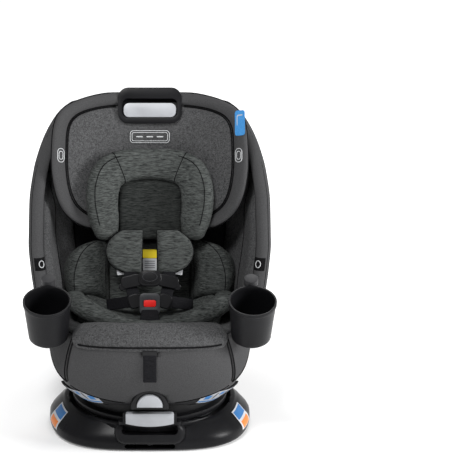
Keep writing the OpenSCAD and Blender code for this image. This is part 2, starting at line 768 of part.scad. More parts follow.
module hip_straps() {
  color(black) on_back() for (m = [0, 1]) mirror([m, 0, 0])
    slab([[[34, -111, 3], [60, -92, 0], [88, -68, -3]], [[34, -111, 24], [60, -92, 22], [88, -68, 19]]],
      [[[34, -109.4, 3], [60, -90.4, 0], [88, -66.4, -3]], [[34, -109.4, 24], [60, -90.4, 22], [88, -66.4, 19]]]);
}

module crotch_strap() {
  color(black) on_back() band([[0, -104.5, -14.5], [0, -92, -20]], 40, 4);
}

// ---- Harness adjuster ----
module adjuster_strap() {
  color(black) translate([0, -233.5, 203]) face_block(webbing_w, 54, 1.8, 1);
}

module adjuster_button() {
  color(black) translate([0, -234, 238]) face_block(30, 14, 10, 3);
}

// ---- Cup holders ----
module at_cup() {
  translate([cup_x, cup_y, cup_z]) rotate([cup_tilt, 0, 0]) children();
}

module cup_holder_right() {
  color(black) at_cup() difference() {
    union() {
      rotate_extrude($fn = 96) polygon([[0, -cup_depth], [cup_floor_r - 6, -cup_depth], [cup_floor_r, -cup_depth + 6],
        [cup_rim_r - 1.5, -8], [cup_rim_r, -6], [cup_rim_r, 0], [0, 0]]);
      for (x = [-1, 1]) translate([x * 17, 50, -42]) cube([5, 16, 50], center = true);
    }
    rotate_extrude($fn = 96) polygon([[0, -cup_depth + 3], [cup_floor_r - 8, -cup_depth + 3], [cup_floor_r - 3, -cup_depth + 8],
      [cup_rim_r - 3.5, 2], [0, 2]]);
  }
}

module cup_holder_left() {
  mirror([1, 0, 0]) cup_holder_right();
}

// Arm that ties a bracket to the shell behind it
module cup_arm() {
  translate([cup_x + 18, -86, 295]) cube([9, 64, 34], center = true);
}

module cup_brackets() {
  color([0.5, 0.5, 0.52]) for (m = [0, 1]) mirror([m, 0, 0]) union() {
    at_cup() translate([0, 56.5, -46]) cube([28, 13, 76], center = true);
    at_cup() translate([0, 63.5, -8]) cylinder(r = 14, h = 15);
    at_cup() translate([0, 70.5, -46]) cube([30, 23, 40], center = true);
    cup_arm();
  }
}

base_pan();
base_shell();
grip_pads();
base_screws();
bearing_lower_race();
bearing_balls();
spindle_bushing();
rotation_handle_housing();
rotation_handle();
rotation_lock_pin();
rotation_handle_springs();
belt_lockoff_arm();
lockoff_hinge_pin();
turntable_disc();
bearing_upper_race();
swivel_spindle();
recline_cradle();
cradle_bolts();
seat_shell_lower();
seat_shell_back();
back_cover();
recline_runners();
recline_bezel();
recline_handle();
recline_link_rod();
recline_latch();
front_panel();
side_cover_left();
side_cover_right();
wing_cover_left();
wing_cover_right();
side_bolster_left();
side_bolster_right();
seat_cushion();
thigh_roll();
back_pad();
headrest_guide_tubes();
harness_splitter_plate();
infant_insert();
buckle_housing();
buckle_button();
crotch_strap();
buckle_tongues();
hip_straps();
shoulder_straps();
harness_pad_left();
harness_pad_right();
chest_clip();
chest_clip_button();
adjuster_strap();
adjuster_button();
cup_brackets();
cup_holder_left();
cup_holder_right();
headrest_frame();
headrest_rods();
headrest_cover();
headrest_lever();
headrest_lock_bar();
infant_head_support();
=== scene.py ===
import bmesh
import bpy
from math import cos, hypot, pi, radians, sin
from mathutils import Matrix, Vector


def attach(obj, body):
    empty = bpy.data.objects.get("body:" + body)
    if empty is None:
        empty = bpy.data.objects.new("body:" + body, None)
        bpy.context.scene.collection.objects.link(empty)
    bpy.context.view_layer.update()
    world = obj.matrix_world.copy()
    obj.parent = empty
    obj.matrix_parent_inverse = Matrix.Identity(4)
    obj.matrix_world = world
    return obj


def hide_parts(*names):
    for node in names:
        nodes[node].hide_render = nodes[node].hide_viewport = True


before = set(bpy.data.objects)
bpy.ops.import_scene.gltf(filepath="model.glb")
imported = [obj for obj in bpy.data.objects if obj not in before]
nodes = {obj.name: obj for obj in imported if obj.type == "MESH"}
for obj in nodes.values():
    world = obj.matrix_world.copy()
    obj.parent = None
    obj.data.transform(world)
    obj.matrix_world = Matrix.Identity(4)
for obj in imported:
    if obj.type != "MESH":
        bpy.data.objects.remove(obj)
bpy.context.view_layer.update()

# ---- Camera, floor and lights ----
# The view is from in front and a little above, with a long lens, and the seat stands left of the middle.
scene = bpy.context.scene
view_height = radians(18.5)
view_distance = 3.40
aim = Vector((0, 0, 0.300))
camera_data = bpy.data.cameras.new("camera")
camera_data.lens = 122.7
camera_data.shift_x = 0.184
camera_data.shift_y = 0.105
camera = bpy.data.objects.new("camera", camera_data)
camera.location = aim + view_distance * Vector((0, -cos(view_height), sin(view_height)))
camera.rotation_euler = (pi / 2 - view_height, 0, 0)
scene.collection.objects.link(camera)
scene.camera = camera
scene.view_settings.view_transform = "Standard"

world = bpy.data.worlds.new("studio")
world.use_nodes = True
sky_nodes, sky_links = world.node_tree.nodes, world.node_tree.links
glow_on_seat = sky_nodes["Background"]
glow_on_seat.inputs["Color"].default_value = (1, 1, 1, 1)
glow_on_seat.inputs["Strength"].default_value = 0.30
backdrop = sky_nodes.new("ShaderNodeBackground")
backdrop.inputs["Color"].default_value = (1, 1, 1, 1)
backdrop.inputs["Strength"].default_value = 1.0
seen = sky_nodes.new("ShaderNodeLightPath")
either = sky_nodes.new("ShaderNodeMixShader")
sky_links.new(seen.outputs["Is Camera Ray"], either.inputs["Fac"])
sky_links.new(glow_on_seat.outputs[0], either.inputs[1])
sky_links.new(backdrop.outputs[0], either.inputs[2])
sky_links.new(either.outputs[0], sky_nodes["World Output"].inputs["Surface"])
scene.world = world


def soft_light(name, place, size, watts):
    """A square studio light that faces the middle of the seat."""
    lamp = bpy.data.lights.new(name, "AREA")
    lamp.size = size
    lamp.energy = watts
    holder = bpy.data.objects.new(name, lamp)
    holder.location = place
    holder.rotation_euler = (Vector(place) - aim).to_track_quat("Z", "Y").to_euler()
    scene.collection.objects.link(holder)


soft_light("key_light", (-0.7, -1.9, 3.1), 0.9, 76)
soft_light("fill_light", (2.9, -1.0, 1.3), 1.1, 100)
soft_light("rim_light", (0.3, 2.2, 2.6), 1.2, 40)

floor_mesh = bpy.data.meshes.new("floor")
reach = 12.0
floor_mesh.from_pydata([(-reach, -reach, 0), (reach, -reach, 0), (reach, reach, 0), (-reach, reach, 0)], [],
                       [(0, 1, 2, 3)])
floor = bpy.data.objects.new("floor", floor_mesh)
scene.collection.objects.link(floor)
floor_paint = bpy.data.materials.new("floor_paper")
floor_paint.use_nodes = True
floor_nodes, floor_links = floor_paint.node_tree.nodes, floor_paint.node_tree.links
floor_shader = floor_nodes["Principled BSDF"]
floor_shader.inputs["Base Color"].default_value = (0.80, 0.80, 0.80, 1)
floor_shader.inputs["Roughness"].default_value = 0.9
floor_shader.inputs["Emission Color"].default_value = (1, 1, 1, 1)
# The paper glows less close to the seat, so a soft shadow shows there and the rest stays white.
floor_far = floor_nodes.new("ShaderNodeVectorMath")
floor_far.operation = "LENGTH"
floor_links.new(floor_nodes.new("ShaderNodeTexCoord").outputs["Object"], floor_far.inputs[0])
floor_glow = floor_nodes.new("ShaderNodeMapRange")
for socket, value in (("From Min", 0.30), ("From Max", 1.10), ("To Min", 0.22), ("To Max", 0.80)):
    floor_glow.inputs[socket].default_value = value
floor_links.new(floor_far.outputs["Value"], floor_glow.inputs["Value"])
floor_links.new(floor_glow.outputs["Result"], floor_shader.inputs["Emission Strength"])
floor_mesh.materials.append(floor_paint)


# ---- Base pan, grip pads and screws ----
# The pan is a flat black moulding under the base. Four rubber pads sit flush in its pockets, and
# six plated screws hold it to the brim above.
def patterned(name, base, rough, spec=0.5):
    """An empty material with its shader, and the object coordinates that patterns are read in."""
    paint = bpy.data.materials.new(name)
    paint.use_nodes = True
    tree = paint.node_tree
    shader = tree.nodes["Principled BSDF"]
    shader.inputs["Base Color"].default_value = (*base, 1)
    shader.inputs["Roughness"].default_value = rough
    shader.inputs["Specular IOR Level"].default_value = spec
    place = tree.nodes.new("ShaderNodeTexCoord").outputs["Object"]
    return paint, tree, shader, place


def grain(tree, place, scale, detail=3.0, rough=0.55):
    """Noise over the object, finer or coarser along each axis."""
    stretch = tree.nodes.new("ShaderNodeMapping")
    stretch.inputs["Scale"].default_value = scale
    tree.links.new(place, stretch.inputs["Vector"])
    spots = tree.nodes.new("ShaderNodeTexNoise")
    spots.inputs["Scale"].default_value = 1.0
    spots.inputs["Detail"].default_value = detail
    spots.inputs["Roughness"].default_value = rough
    tree.links.new(stretch.outputs["Vector"], spots.inputs["Vector"])
    return spots.outputs["Fac"]


def between(tree, source, low, high, from_low=0.3, from_high=0.7):
    """A value mapped to a range of numbers."""
    spread = tree.nodes.new("ShaderNodeMapRange")
    for socket, value in (("From Min", from_low), ("From Max", from_high), ("To Min", low), ("To Max", high)):
        spread.inputs[socket].default_value = value
    tree.links.new(source, spread.inputs["Value"])
    return spread.outputs["Result"]


def tint(tree, source, dark, light):
    """A colour that runs from dark to light with a value."""
    ramp = tree.nodes.new("ShaderNodeValToRGB")
    ramp.color_ramp.elements[0].color = (*dark, 1)
    ramp.color_ramp.elements[1].color = (*light, 1)
    tree.links.new(source, ramp.inputs["Fac"])
    return ramp.outputs["Color"]


def raised(tree, shader, height, depth, under=None):
    """Bump of a given depth in metres, on top of another bump."""
    bump = tree.nodes.new("ShaderNodeBump")
    bump.inputs["Distance"].default_value = depth
    bump.inputs["Strength"].default_value = 1.0
    tree.links.new(height, bump.inputs["Height"])
    if under:
        tree.links.new(under, bump.inputs["Normal"])
    tree.links.new(bump.outputs["Normal"], shader.inputs["Normal"])
    return bump.outputs["Normal"]


def moulding(name, base, rough, texture=2600, depth=0.00005, spec=0.22):
    """Injection-moulded plastic: fine spark-eroded grain, faint cloudiness in colour and gloss."""
    paint, tree, shader, place = patterned(name, base, rough, spec)
    cloud = grain(tree, place, (14, 14, 14), 4)
    dark = [c * 0.88 for c in base]
    light = [c * 1.14 + 0.002 for c in base]
    tree.links.new(tint(tree, between(tree, cloud, 0, 1), dark, light), shader.inputs["Base Color"])
    tree.links.new(between(tree, cloud, rough - 0.04, rough + 0.06), shader.inputs["Roughness"])
    raised(tree, shader, grain(tree, place, (texture, texture, texture), 2), depth)
    return paint


def dress(piece, paint):
    """One material over a whole piece or CAD node."""
    piece.data.materials.clear()
    piece.data.materials.append(paint)


base_black = moulding("base_black", (0.007, 0.007, 0.008), 0.30, 1800, 0.00003, 0.12)
grip_rubber = moulding("grip_rubber", (0.02, 0.02, 0.02), 0.85, 900, 0.0002)


def plated(name, base, rough):
    """Zinc-plated or brushed steel with a fine drawn grain."""
    paint, tree, shader, place = patterned(name, base, rough)
    shader.inputs["Metallic"].default_value = 1.0
    drawn = grain(tree, place, (60, 60, 2400), 3)
    tree.links.new(between(tree, drawn, rough - 0.08, rough + 0.12), shader.inputs["Roughness"])
    raised(tree, shader, drawn, 0.00003)
    return paint


zinc = plated("zinc_plate", (0.55, 0.56, 0.58), 0.35)
dress(nodes["base_pan"], base_black)
dress(nodes["grip_pads"], grip_rubber)
dress(nodes["base_screws"], zinc)

# ---- Swivel bearing and spindle ----
# Two steel races with a ring of balls between them carry the turntable, and a flanged steel spindle
# turns in a plastic bushing at the centre.
bushing_white = moulding("bushing_white", (0.62, 0.60, 0.52), 0.45)
for part in ("bearing_lower_race", "bearing_upper_race", "bearing_balls", "swivel_spindle",
             "cradle_bolts", "rotation_lock_pin", "rotation_handle_springs", "lockoff_hinge_pin"):
    dress(nodes[part], zinc)
dress(nodes["spindle_bushing"], bushing_white)

# ---- Base brim and rear tower ----
# One gloss-black moulding: a low brim that slopes to the floor all round, a round recess for the
# turntable, a nose in front with a finger cavity, and a tall tower behind with the belt path before it.
seat_black = moulding("shell_black", (0.011, 0.011, 0.012), 0.48)


def curve(knots, at):
    """Smooth interpolation through (place, value) knots, held level past both ends."""
    if at <= knots[0][0]:
        return knots[0][1]
    if at >= knots[-1][0]:
        return knots[-1][1]
    k = max(i for i in range(len(knots) - 1) if knots[i][0] <= at)
    (x0, y0), (x1, y1) = knots[k], knots[k + 1]

    def slope(i):
        """Slope at a knot, flat where the values turn. The two end knots have none of their own."""
        if i == 0 or i == len(knots) - 1:
            return None
        (xa, ya), (xb, yb), (xc, yc) = knots[i - 1], knots[i], knots[i + 1]
        left, right = (yb - ya) / (xb - xa), (yc - yb) / (xc - xb)
        return 0 if left * right <= 0 else 2 * left * right / (left + right)

    mean = (y1 - y0) / (x1 - x0)
    m0, m1 = slope(k), slope(k + 1)
    m0 = 1.5 * mean - 0.5 * m1 if m0 is None and m1 is not None else (mean if m0 is None else m0)
    m1 = 1.5 * mean - 0.5 * m0 if m1 is None else m1
    t = (at - x0) / (x1 - x0)
    h = x1 - x0
    return ((2 * t**3 - 3 * t**2 + 1) * y0 + (t**3 - 2 * t**2 + t) * h * m0
            + (3 * t**2 - 2 * t**3) * y1 + (t**3 - t**2) * h * m1)


def power(value, e):
    """Signed power, for rounded-square outlines."""
    return (1 if value >= 0 else -1) * abs(value) ** e


def steps(first, last, count):
    return [first + (last - first) * i / count for i in range(count + 1)]


def piece_from(name, points, faces, smooth=True):
    """A new mesh piece from points in millimetres, at the origin."""
    mesh = bpy.data.meshes.new(name)
    mesh.from_pydata([(x / 1000, y / 1000, z / 1000) for x, y, z in points], [], faces)
    mesh.validate()
    if smooth:
        mesh.shade_smooth()
    piece = bpy.data.objects.new(name, mesh)
    scene.collection.objects.link(piece)
    return piece


def sheet(name, rows, around=False, caps=False, smooth=True):
    """A skin through rows of points: closed round when asked, with its end rows filled when asked."""
    n = len(rows[0])
    points = [p for row in rows for p in row]
    faces = []
    for i in range(len(rows) - 1):
        for j in range(n if around else n - 1):
            a, b = i * n + j, i * n + (j + 1) % n
            faces.append((a, b, b + n, a + n))
    if caps:
        faces.append(tuple(reversed(range(n))))
        faces.append(tuple(range((len(rows) - 1) * n, len(rows) * n)))
    return piece_from(name, points, faces, smooth)


def outward(piece):
    """Faces of a closed skin turned to the outside."""
    shape = bmesh.new()
    shape.from_mesh(piece.data)
    bmesh.ops.recalc_face_normals(shape, faces=shape.faces)
    shape.to_mesh(piece.data)
    shape.free()
    return piece


def stack(piece, kind, **settings):
    """One live modifier, with the given settings."""
    step = piece.modifiers.new(kind.lower(), kind)
    for key, value in settings.items():
        setattr(step, key, value)
    return step


def rounded(piece, width, segments=3, angle=35):
    """Small moulded edge radius."""
    stack(piece, "BEVEL", width=width / 1000, segments=segments, limit_method="ANGLE",
          angle_limit=radians(angle), harden_normals=True)
    return piece


def applied(piece):
    """The piece's stack baked into its mesh."""
    bpy.context.view_layer.update()
    solid = bpy.data.meshes.new_from_object(piece.evaluated_get(bpy.context.evaluated_depsgraph_get()))
    piece.modifiers.clear()
    piece.data = solid
    return piece


def cut_by(piece, cutter):
    """A pocket or opening sunk by another closed shape, which is then thrown away."""
    stack(piece, "BOOLEAN", operation="DIFFERENCE", object=cutter, solver="EXACT")
    applied(piece)
    bpy.data.objects.remove(cutter)
    return piece


def rounded_loop(w, h, r, corner=8):
    """Outline of a rounded rectangle, with a number of steps round each corner."""
    loop = []
    for qx, qz, start in ((1, 1, 0), (-1, 1, 90), (-1, -1, 180), (1, -1, 270)):
        for k in range(corner + 1):
            a = radians(start + 90 * k / corner)
            loop.append((qx * (w / 2 - r) + r * cos(a), qz * (h / 2 - r) + r * sin(a)))
    return loop


def plate(name, w, h, r, back, front, turn=None, place=(0, 0, 0), corner=6):
    """Rounded rectangle facing -Y, between two depths, then leaned and placed in millimetres."""
    outline = rounded_loop(w, h, r, corner)
    rows = [[(x, depth, z) for x, z in outline] for depth in (front, back)]
    piece = outward(sheet(name, rows, around=True, caps=True, smooth=False))
    move = Matrix.Translation(Vector(place) / 1000)
    if turn:
        move = move @ Matrix.Rotation(radians(turn), 4, "X")
    piece.data.transform(move)
    return piece


base_half = [(1, 208), (4, 214), (10, 217), (18, 216.5), (24, 215), (32, 209), (40, 201), (47, 194),
             (52, 188), (56, 184), (58, 178)]
base_in = [(1, 8), (4, 3), (10, 0), (18, 0.5), (24, 2), (32, 6), (40, 12), (47, 18), (52, 22), (56, 25),
           (58, 31)]
base_waist = [(-80, 0), (10, 0), (40, 5), (70, 15), (100, 33), (200, 33), (225, 24), (260, 9), (285, 0)]
waist_share = [(24, 1), (58, 0.85)]
base_square = 2 / 3.4


def base_point(a, z, off=0.0):
    """Point on the brim at an angle in radians and a height, pushed out by off."""
    front, rear = -178 + curve(base_in, z) - off, 345 - curve(base_in, z) / 2 + off
    y = (front + rear) / 2 + (rear - front) / 2 * power(sin(a), base_square)
    side = curve(base_half, z) + off - curve(base_waist, y) * curve(waist_share, z)
    return side * power(cos(a), base_square), y, z


def base_ring(z, off=0.0, n=120):
    return [base_point(2 * pi * i / n, z, off) for i in range(n)]


recess_r = 172
brim_rows = [base_ring(z) for z in (1.5, 4, 7, 10, 14, 18, 24, 28, 32, 36, 40, 44, 47, 50, 52, 54, 56, 57.4)]
brim_rows.append([(x, y, 58) for x, y, _ in base_ring(57.4, -4)])
for r, z in ((recess_r + 2, 58), (recess_r, 56.5), (recess_r, 45), (124, 44.2), (32, 44.2)):
    brim_rows.append([(r * x / hypot(x, y), r * y / hypot(x, y), z) for x, y, _ in brim_rows[0]])
brim = sheet("base_brim", brim_rows, around=True)
stack(brim, "SOLIDIFY", thickness=0.004, offset=-1)
applied(brim)
nose = applied(rounded(plate("base_nose", 146, 50, 23, -148, -184, place=(0, 0, 41)), 13, 6))
cut_by(nose, applied(rounded(plate("finger_cavity_cut", 116, 21, 9, -166, -200, place=(0, 0, 52)), 3)))
cut_by(brim, plate("front_slot_cut", 104, 10, 4, -165, -205, place=(0, 0, 12)))
tower_front = [(x, (292**2 - x * x) ** 0.5) for x in steps(170, -170, 36)]
tower_rear = [(x, 84 + 253 * (1 - abs(x / 210) ** 3.4) ** (1 / 3.4)) for x in steps(-170, 170, 36)]
tower_rows = [[(x, y, z) for x, y in tower_front + tower_rear] for z in (40, 120, 205)]
tower = outward(sheet("base_tower", tower_rows, around=True, caps=True))
rounded(tower, 9, 4)


def mount(piece, paint, body, finish, *stands_for):
    """The piece's material, the body it moves with and the CAD nodes it stands for. The finish argument is not
    used.
    """
    dress(piece, paint)
    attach(piece, body)
    if stands_for:
        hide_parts(*stands_for)
    return piece


mount(brim, base_black, "base", "base_plastic", "base_shell")
mount(nose, base_black, "base", "base_plastic")
mount(tower, base_black, "base", "base_plastic")

# ---- Blank labels on the brim ----
# Printed film labels, one on each front shoulder of the brim. They are plain blocks of colour.
label_white = moulding("label_white", (0.55, 0.56, 0.58), 0.4)
label_blue = moulding("label_blue", (0.04, 0.17, 0.42), 0.4)
label_orange = moulding("label_orange", (0.75, 0.22, 0.05), 0.4)
mirrored_angles = (("left", lambda a: a), ("right", lambda a: 540 - a))


brim_labels = (("sheet", 196, 213, 16, 50, 0.5, label_white), ("upper", 197, 212, 35, 48, 0.8, label_blue),
               ("lower", 198, 211, 18, 31, 0.8, label_orange))
for side, turn in mirrored_angles:
    for part, a0, a1, low, high, off, paint in brim_labels:
        start, end = sorted((turn(a0), turn(a1)))
        rows = [[base_point(radians(a), z, off) for a in steps(start, end, 8)] for z in steps(low, high, 6)]
        mount(sheet(f"brim_label_{side}_{part}", rows), paint, "base", "base_plastic")

# ---- Rotation handle ----
# A silver pull bar in front of the brim, on two stems that run in a black housing on the nose.
silver = moulding("silver_plastic", (0.33, 0.34, 0.36), 0.34, 3200, 0.00002, 0.5)


def carry(node, paint, edge=0.6, angle=32):
    """A CAD node kept as it is: its triangles joined, its edges broken by a small radius, shaded smooth."""
    piece = nodes[node]
    dress(piece, paint)
    piece.data.shade_smooth()
    stack(piece, "WELD", merge_threshold=0.00002)
    if edge:
        stack(piece, "BEVEL", width=edge / 1000, segments=2, limit_method="ANGLE", angle_limit=radians(angle),
              harden_normals=False, use_clamp_overlap=True)
    stack(piece, "EDGE_SPLIT", split_angle=radians(angle), use_edge_sharp=False)


carry("rotation_handle_housing", base_black, 1.0)
carry("rotation_handle", silver, 1.6)

# ---- Belt lock-off arm ----
# A blue plastic arm hinged on the tower's side. It swings up to clamp the vehicle belt.
lockoff_blue = moulding("lockoff_blue", (0.03, 0.12, 0.42), 0.42)
carry("belt_lockoff_arm", lockoff_blue, 1.0)

# ---- Turntable and recline cradle ----
# A black disc turns in the brim's recess and carries the curved cradle that the shell's runners rock on.
carry("turntable_disc", base_black, 1.2)
carry("recline_cradle", seat_black, 1.2)
carry("recline_runners", seat_black, 0.8)

# ---- Lower seat shell ----
# The bowl under the seat, moulded in black. Its underside is a rocker that matches the cradle, and its
# rim is rolled inwards. The belt-path guide strips on its sides are blank film labels.
label_film = moulding("label_film", (0.40, 0.41, 0.43), 0.4)
label_dark = moulding("label_dark", (0.03, 0.03, 0.035), 0.4)
bowl_half = [(78, 114), (100, 150), (120, 176), (145, 200), (180, 210), (220, 213), (256, 214)]
bowl_front = [(78, -166), (100, -184), (120, -196), (145, -208), (180, -220), (220, -226), (256, -226)]
bowl_rear = [(78, 46), (100, 78), (120, 102), (145, 132), (180, 160), (220, 180), (256, 192)]
bowl_taper = [(78, 0), (145, 0.05), (200, 0.14), (256, 0.27)]
bowl_flare = 0.05
rocker_y, rocker_z, rocker_r = -60, 430, 345
bowl_low, rim_z, cover_top = 78, 256, 254


def bowl_point(a, z, off=0.0):
    """Point on the bowl at an angle in degrees and a height, pushed out by off."""
    w = curve(bowl_half, z) + off
    front, rear = curve(bowl_front, z) - off, curve(bowl_rear, z) + off
    e = 2 / (2.4 + 1.1 * min(max((z - bowl_low) / (rim_z - bowl_low), 0), 1))
    t = power(sin(radians(a)), e)
    x = w * power(cos(radians(a)), e) * (1 + (curve(bowl_taper, z) if t < 0 else bowl_flare) * t)
    return x, (front + rear) / 2 + (rear - front) / 2 * t, z


def rocker_floor(y):
    return rocker_z - (rocker_r**2 - (y - rocker_y) ** 2) ** 0.5


def bowl_foot(a):
    """Height at which the bowl's side meets its rocker."""
    z = 120
    for _ in range(12):
        z = 0.5 * z + 0.5 * max(rocker_floor(bowl_point(a, z)[1]), 80)
    return z


turns = [360 * i / 144 for i in range(144)]
feet = [bowl_foot(a) for a in turns]
foot_ring = [bowl_point(a, foot, -4)[:2] for a, foot in zip(turns, feet)]
bowl_rows = []
for k in (0.04, 0.3, 0.6, 0.85, 1):
    shrunk = [(x * k, rocker_y + (y - rocker_y) * k) for x, y in foot_ring]
    bowl_rows.append([(x, y, rocker_floor(y)) for x, y in shrunk])
for t in (0.0, 0.06, 0.14, 0.24, 0.36, 0.48, 0.6, 0.72, 0.84, 0.94, 1.0):
    bowl_rows.append([bowl_point(a, foot + 2 + (rim_z - foot - 4) * t, -1 if t == 0 else 0)
                      for a, foot in zip(turns, feet)])
for off, z in ((-1.5, rim_z), (-5.5, rim_z), (-7, rim_z - 2), (-7, rim_z - 28)):
    bowl_rows.append([(*bowl_point(a, 250, off)[:2], z) for a in turns])
bowl = sheet("seat_bowl", bowl_rows, around=True)
mount(bowl, seat_black, "seat", "shell_plastic", "seat_shell_lower")


def bowl_patch(name, a0, a1, low, high, off, columns=24, levels=6):
    """Thin skin on the bowl between two angles and two heights, which may change with the angle."""
    rows = []
    for t in steps(0, 1, levels):
        rows.append([bowl_point(a, low(a) + (high(a) - low(a)) * t, off(a)) for a in steps(a0, a1, columns)])
    return sheet(name, rows)


guide_start, guide_sweep, guide_height = 188, 32, 32


def guide_rise(a):
    """How far the belt guide stands off the bowl: it grows towards the seat's side."""
    share = (219 - min(a, 540 - a)) / 31
    return 0.6 + 13 * min(max(share, 0), 1) ** 1.4


def crowned(distance, reach):
    """0 at an edge, 1 past reach, with a round shoulder between."""
    return (1 - (1 - min(max(distance / reach, 0), 1)) ** 2) ** 0.5


def padding(name, place, size, thick, reach=8, edge=0.35, count=(24, 24), under=0.3):
    """Closed quilted form. place(u, v, off) is a point above its bed. thick says how far it crowns: it is a
    number or thick(u, v)."""
    crown = thick if callable(thick) else lambda u, v: thick
    across = [0.5 - 0.5 * cos(pi * t) for t in steps(0, 1, count[0])]
    along = [0.5 - 0.5 * cos(pi * t) for t in steps(0, 1, count[1])]

    def rise(u, v):
        shoulder = crowned(min(u, 1 - u) * size[0], reach) * crowned(min(v, 1 - v) * size[1], reach)
        return under + (crown(u, v) - under) * (edge + (1 - edge) * shoulder)

    top = [[place(u, v, rise(u, v)) for u in across] for v in along]
    bed = [[place(u, v, under) for u in across] for v in along]
    n, m = len(across), len(along)
    points = [p for row in top for p in row] + [p for row in bed for p in row]
    faces = []
    for j in range(m - 1):
        for i in range(n - 1):
            a = j * n + i
            faces.append((a, a + 1, a + n + 1, a + n))
            a += n * m
            faces.append((a, a + n, a + n + 1, a + 1))
    rim = ([i for i in range(n)] + [j * n + n - 1 for j in range(1, m)]
           + [(m - 1) * n + i for i in range(n - 2, -1, -1)] + [j * n for j in range(m - 2, 0, -1)])
    for k, a in enumerate(rim):
        b = rim[(k + 1) % len(rim)]
        faces.append((a, a + n * m, b + n * m, b))
    return outward(piece_from(name, points, faces))


guide_prints = (
    ("film", 190, 240, 5, 33, 0.5, label_film), ("edge", 190.6, 239.4, 7, 10, 0.9, label_blue),
    ("block_1", 193, 199, 14, 30, 0.9, label_blue), ("block_2", 202, 204, 14, 30, 0.9, label_dark),
    ("block_3", 207, 209, 14, 30, 0.9, label_dark), ("block_4", 213, 219, 22, 30, 0.9, label_blue),
    ("block_5", 223, 225, 14, 30, 0.9, label_dark), ("block_6", 229, 236, 14, 24, 0.9, label_blue))
for side, turn in mirrored_angles:
    def guide_place(u, v, off):
        a = turn(guide_start + guide_sweep * u)
        return bowl_point(a, bowl_foot(a) + 3 + guide_height * v, off)

    guide = padding(f"belt_guide_{side}", guide_place, (90, guide_height),
                    lambda u, v: guide_rise(guide_start + guide_sweep * u), 2.5, 0.8, (28, 12))
    mount(guide, seat_black, "seat", "shell_plastic")
    for part, a0, a1, low, high, off, paint in guide_prints:
        start, end = sorted((turn(a0), turn(a1)))
        strip = bowl_patch(f"belt_strip_{side}_{part}", start, end,
                           lambda a: bowl_foot(a) + low, lambda a: bowl_foot(a) + high,
                           lambda a: guide_rise(a) + off)
        mount(strip, paint, "seat", "shell_plastic")

# ---- Back shell ----
# A deep moulded shell behind the seat, open in front. It is one wall with four stiffening ribs
# down its back, and a ribbed plastic panel that covers the headrest slide.
back_half = [(230, 213), (256, 219), (300, 230), (350, 241), (400, 247), (470, 247), (530, 240), (560, 231),
             (580, 222), (600, 210), (620, 194), (635, 174), (645, 150), (650, 128)]
back_front = [(230, -104), (260, -104), (290, -88), (330, -50), (400, 0), (470, 45), (530, 105), (560, 158),
              (580, 192), (600, 216), (620, 236), (635, 248), (645, 256), (650, 262)]
back_rear = [(230, 206), (256, 216), (300, 232), (400, 262), (500, 294), (590, 319), (604, 322), (620, 326),
             (635, 326), (645, 322), (650, 314)]


def back_point(a, z, off=0.0):
    """Point on the back shell: a is 0 at the middle of the back and +-90 at its front edges."""
    w, front, rear = curve(back_half, z) + off, curve(back_front, z), curve(back_rear, z) + off
    e = 2 / 2.6
    return w * power(sin(radians(a)), e), front + (rear - front) * max(cos(radians(a)), 0) ** e, z


back_turns = [90 * power(t, 0.9) for t in steps(-1, 1, 96)]
back_levels = steps(244, 540, 44) + steps(544, 620, 20) + [625, 630, 635, 640, 644, 647, 649, 650]
back_rows = [[back_point(a, z) for a in back_turns] for z in back_levels]
back = outward(sheet("seat_back_shell", back_rows))
stack(back, "SOLIDIFY", thickness=0.006, offset=-1)
mount(back, seat_black, "seat", "shell_plastic", "seat_shell_back")


def cord(name, path, r, paint, body, finish, closed=False):
    """Round cord, rib or stitched seam along a path in millimetres, mounted on a body."""
    line = bpy.data.curves.new(name, "CURVE")
    line.dimensions = "3D"
    line.bevel_depth = r / 1000
    line.bevel_resolution = 2
    line.resolution_u = 4
    line.use_fill_caps = True
    spline = line.splines.new("POLY")
    spline.points.add(len(path) - 1)
    for knot, (x, y, z) in zip(spline.points, path):
        knot.co = (x / 1000, y / 1000, z / 1000, 1)
    spline.use_cyclic_u = closed
    spline.use_smooth = True
    piece = bpy.data.objects.new(name, line)
    scene.collection.objects.link(piece)
    return mount(piece, paint, body, finish)


for i, a in enumerate((-62, -50, 50, 62)):
    cord(f"back_rib_{i + 1}", [back_point(a, z, 0.4) for z in steps(262, 560, 36)], 3.2, seat_black, "seat",
         "shell_plastic")


def back_panel_thick(u, v):
    ribbed = cos(2 * pi * 9 * u) > 0.2 and 0.08 < v < 0.66
    return 4.6 + 3.0 * ribbed


back_panel = padding("back_panel", lambda u, v, off: back_point(84 * u - 42, 256 + 274 * v, off), (300, 274),
                     back_panel_thick, 6, 0.3, (110, 44))
mount(back_panel, moulding("panel_plastic", (0.030, 0.030, 0.033), 0.55), "seat", "shell_plastic",
      "back_cover")
both_sides = ((-1, "left"), (1, "right"))
for side, name in both_sides:
    slot_edge = [back_point(side * a, 268, 5.0) for a in steps(14, 34, 12)]
    cord(f"belt_slot_{name}", slot_edge, 4.5, base_black, "seat", "shell_plastic")


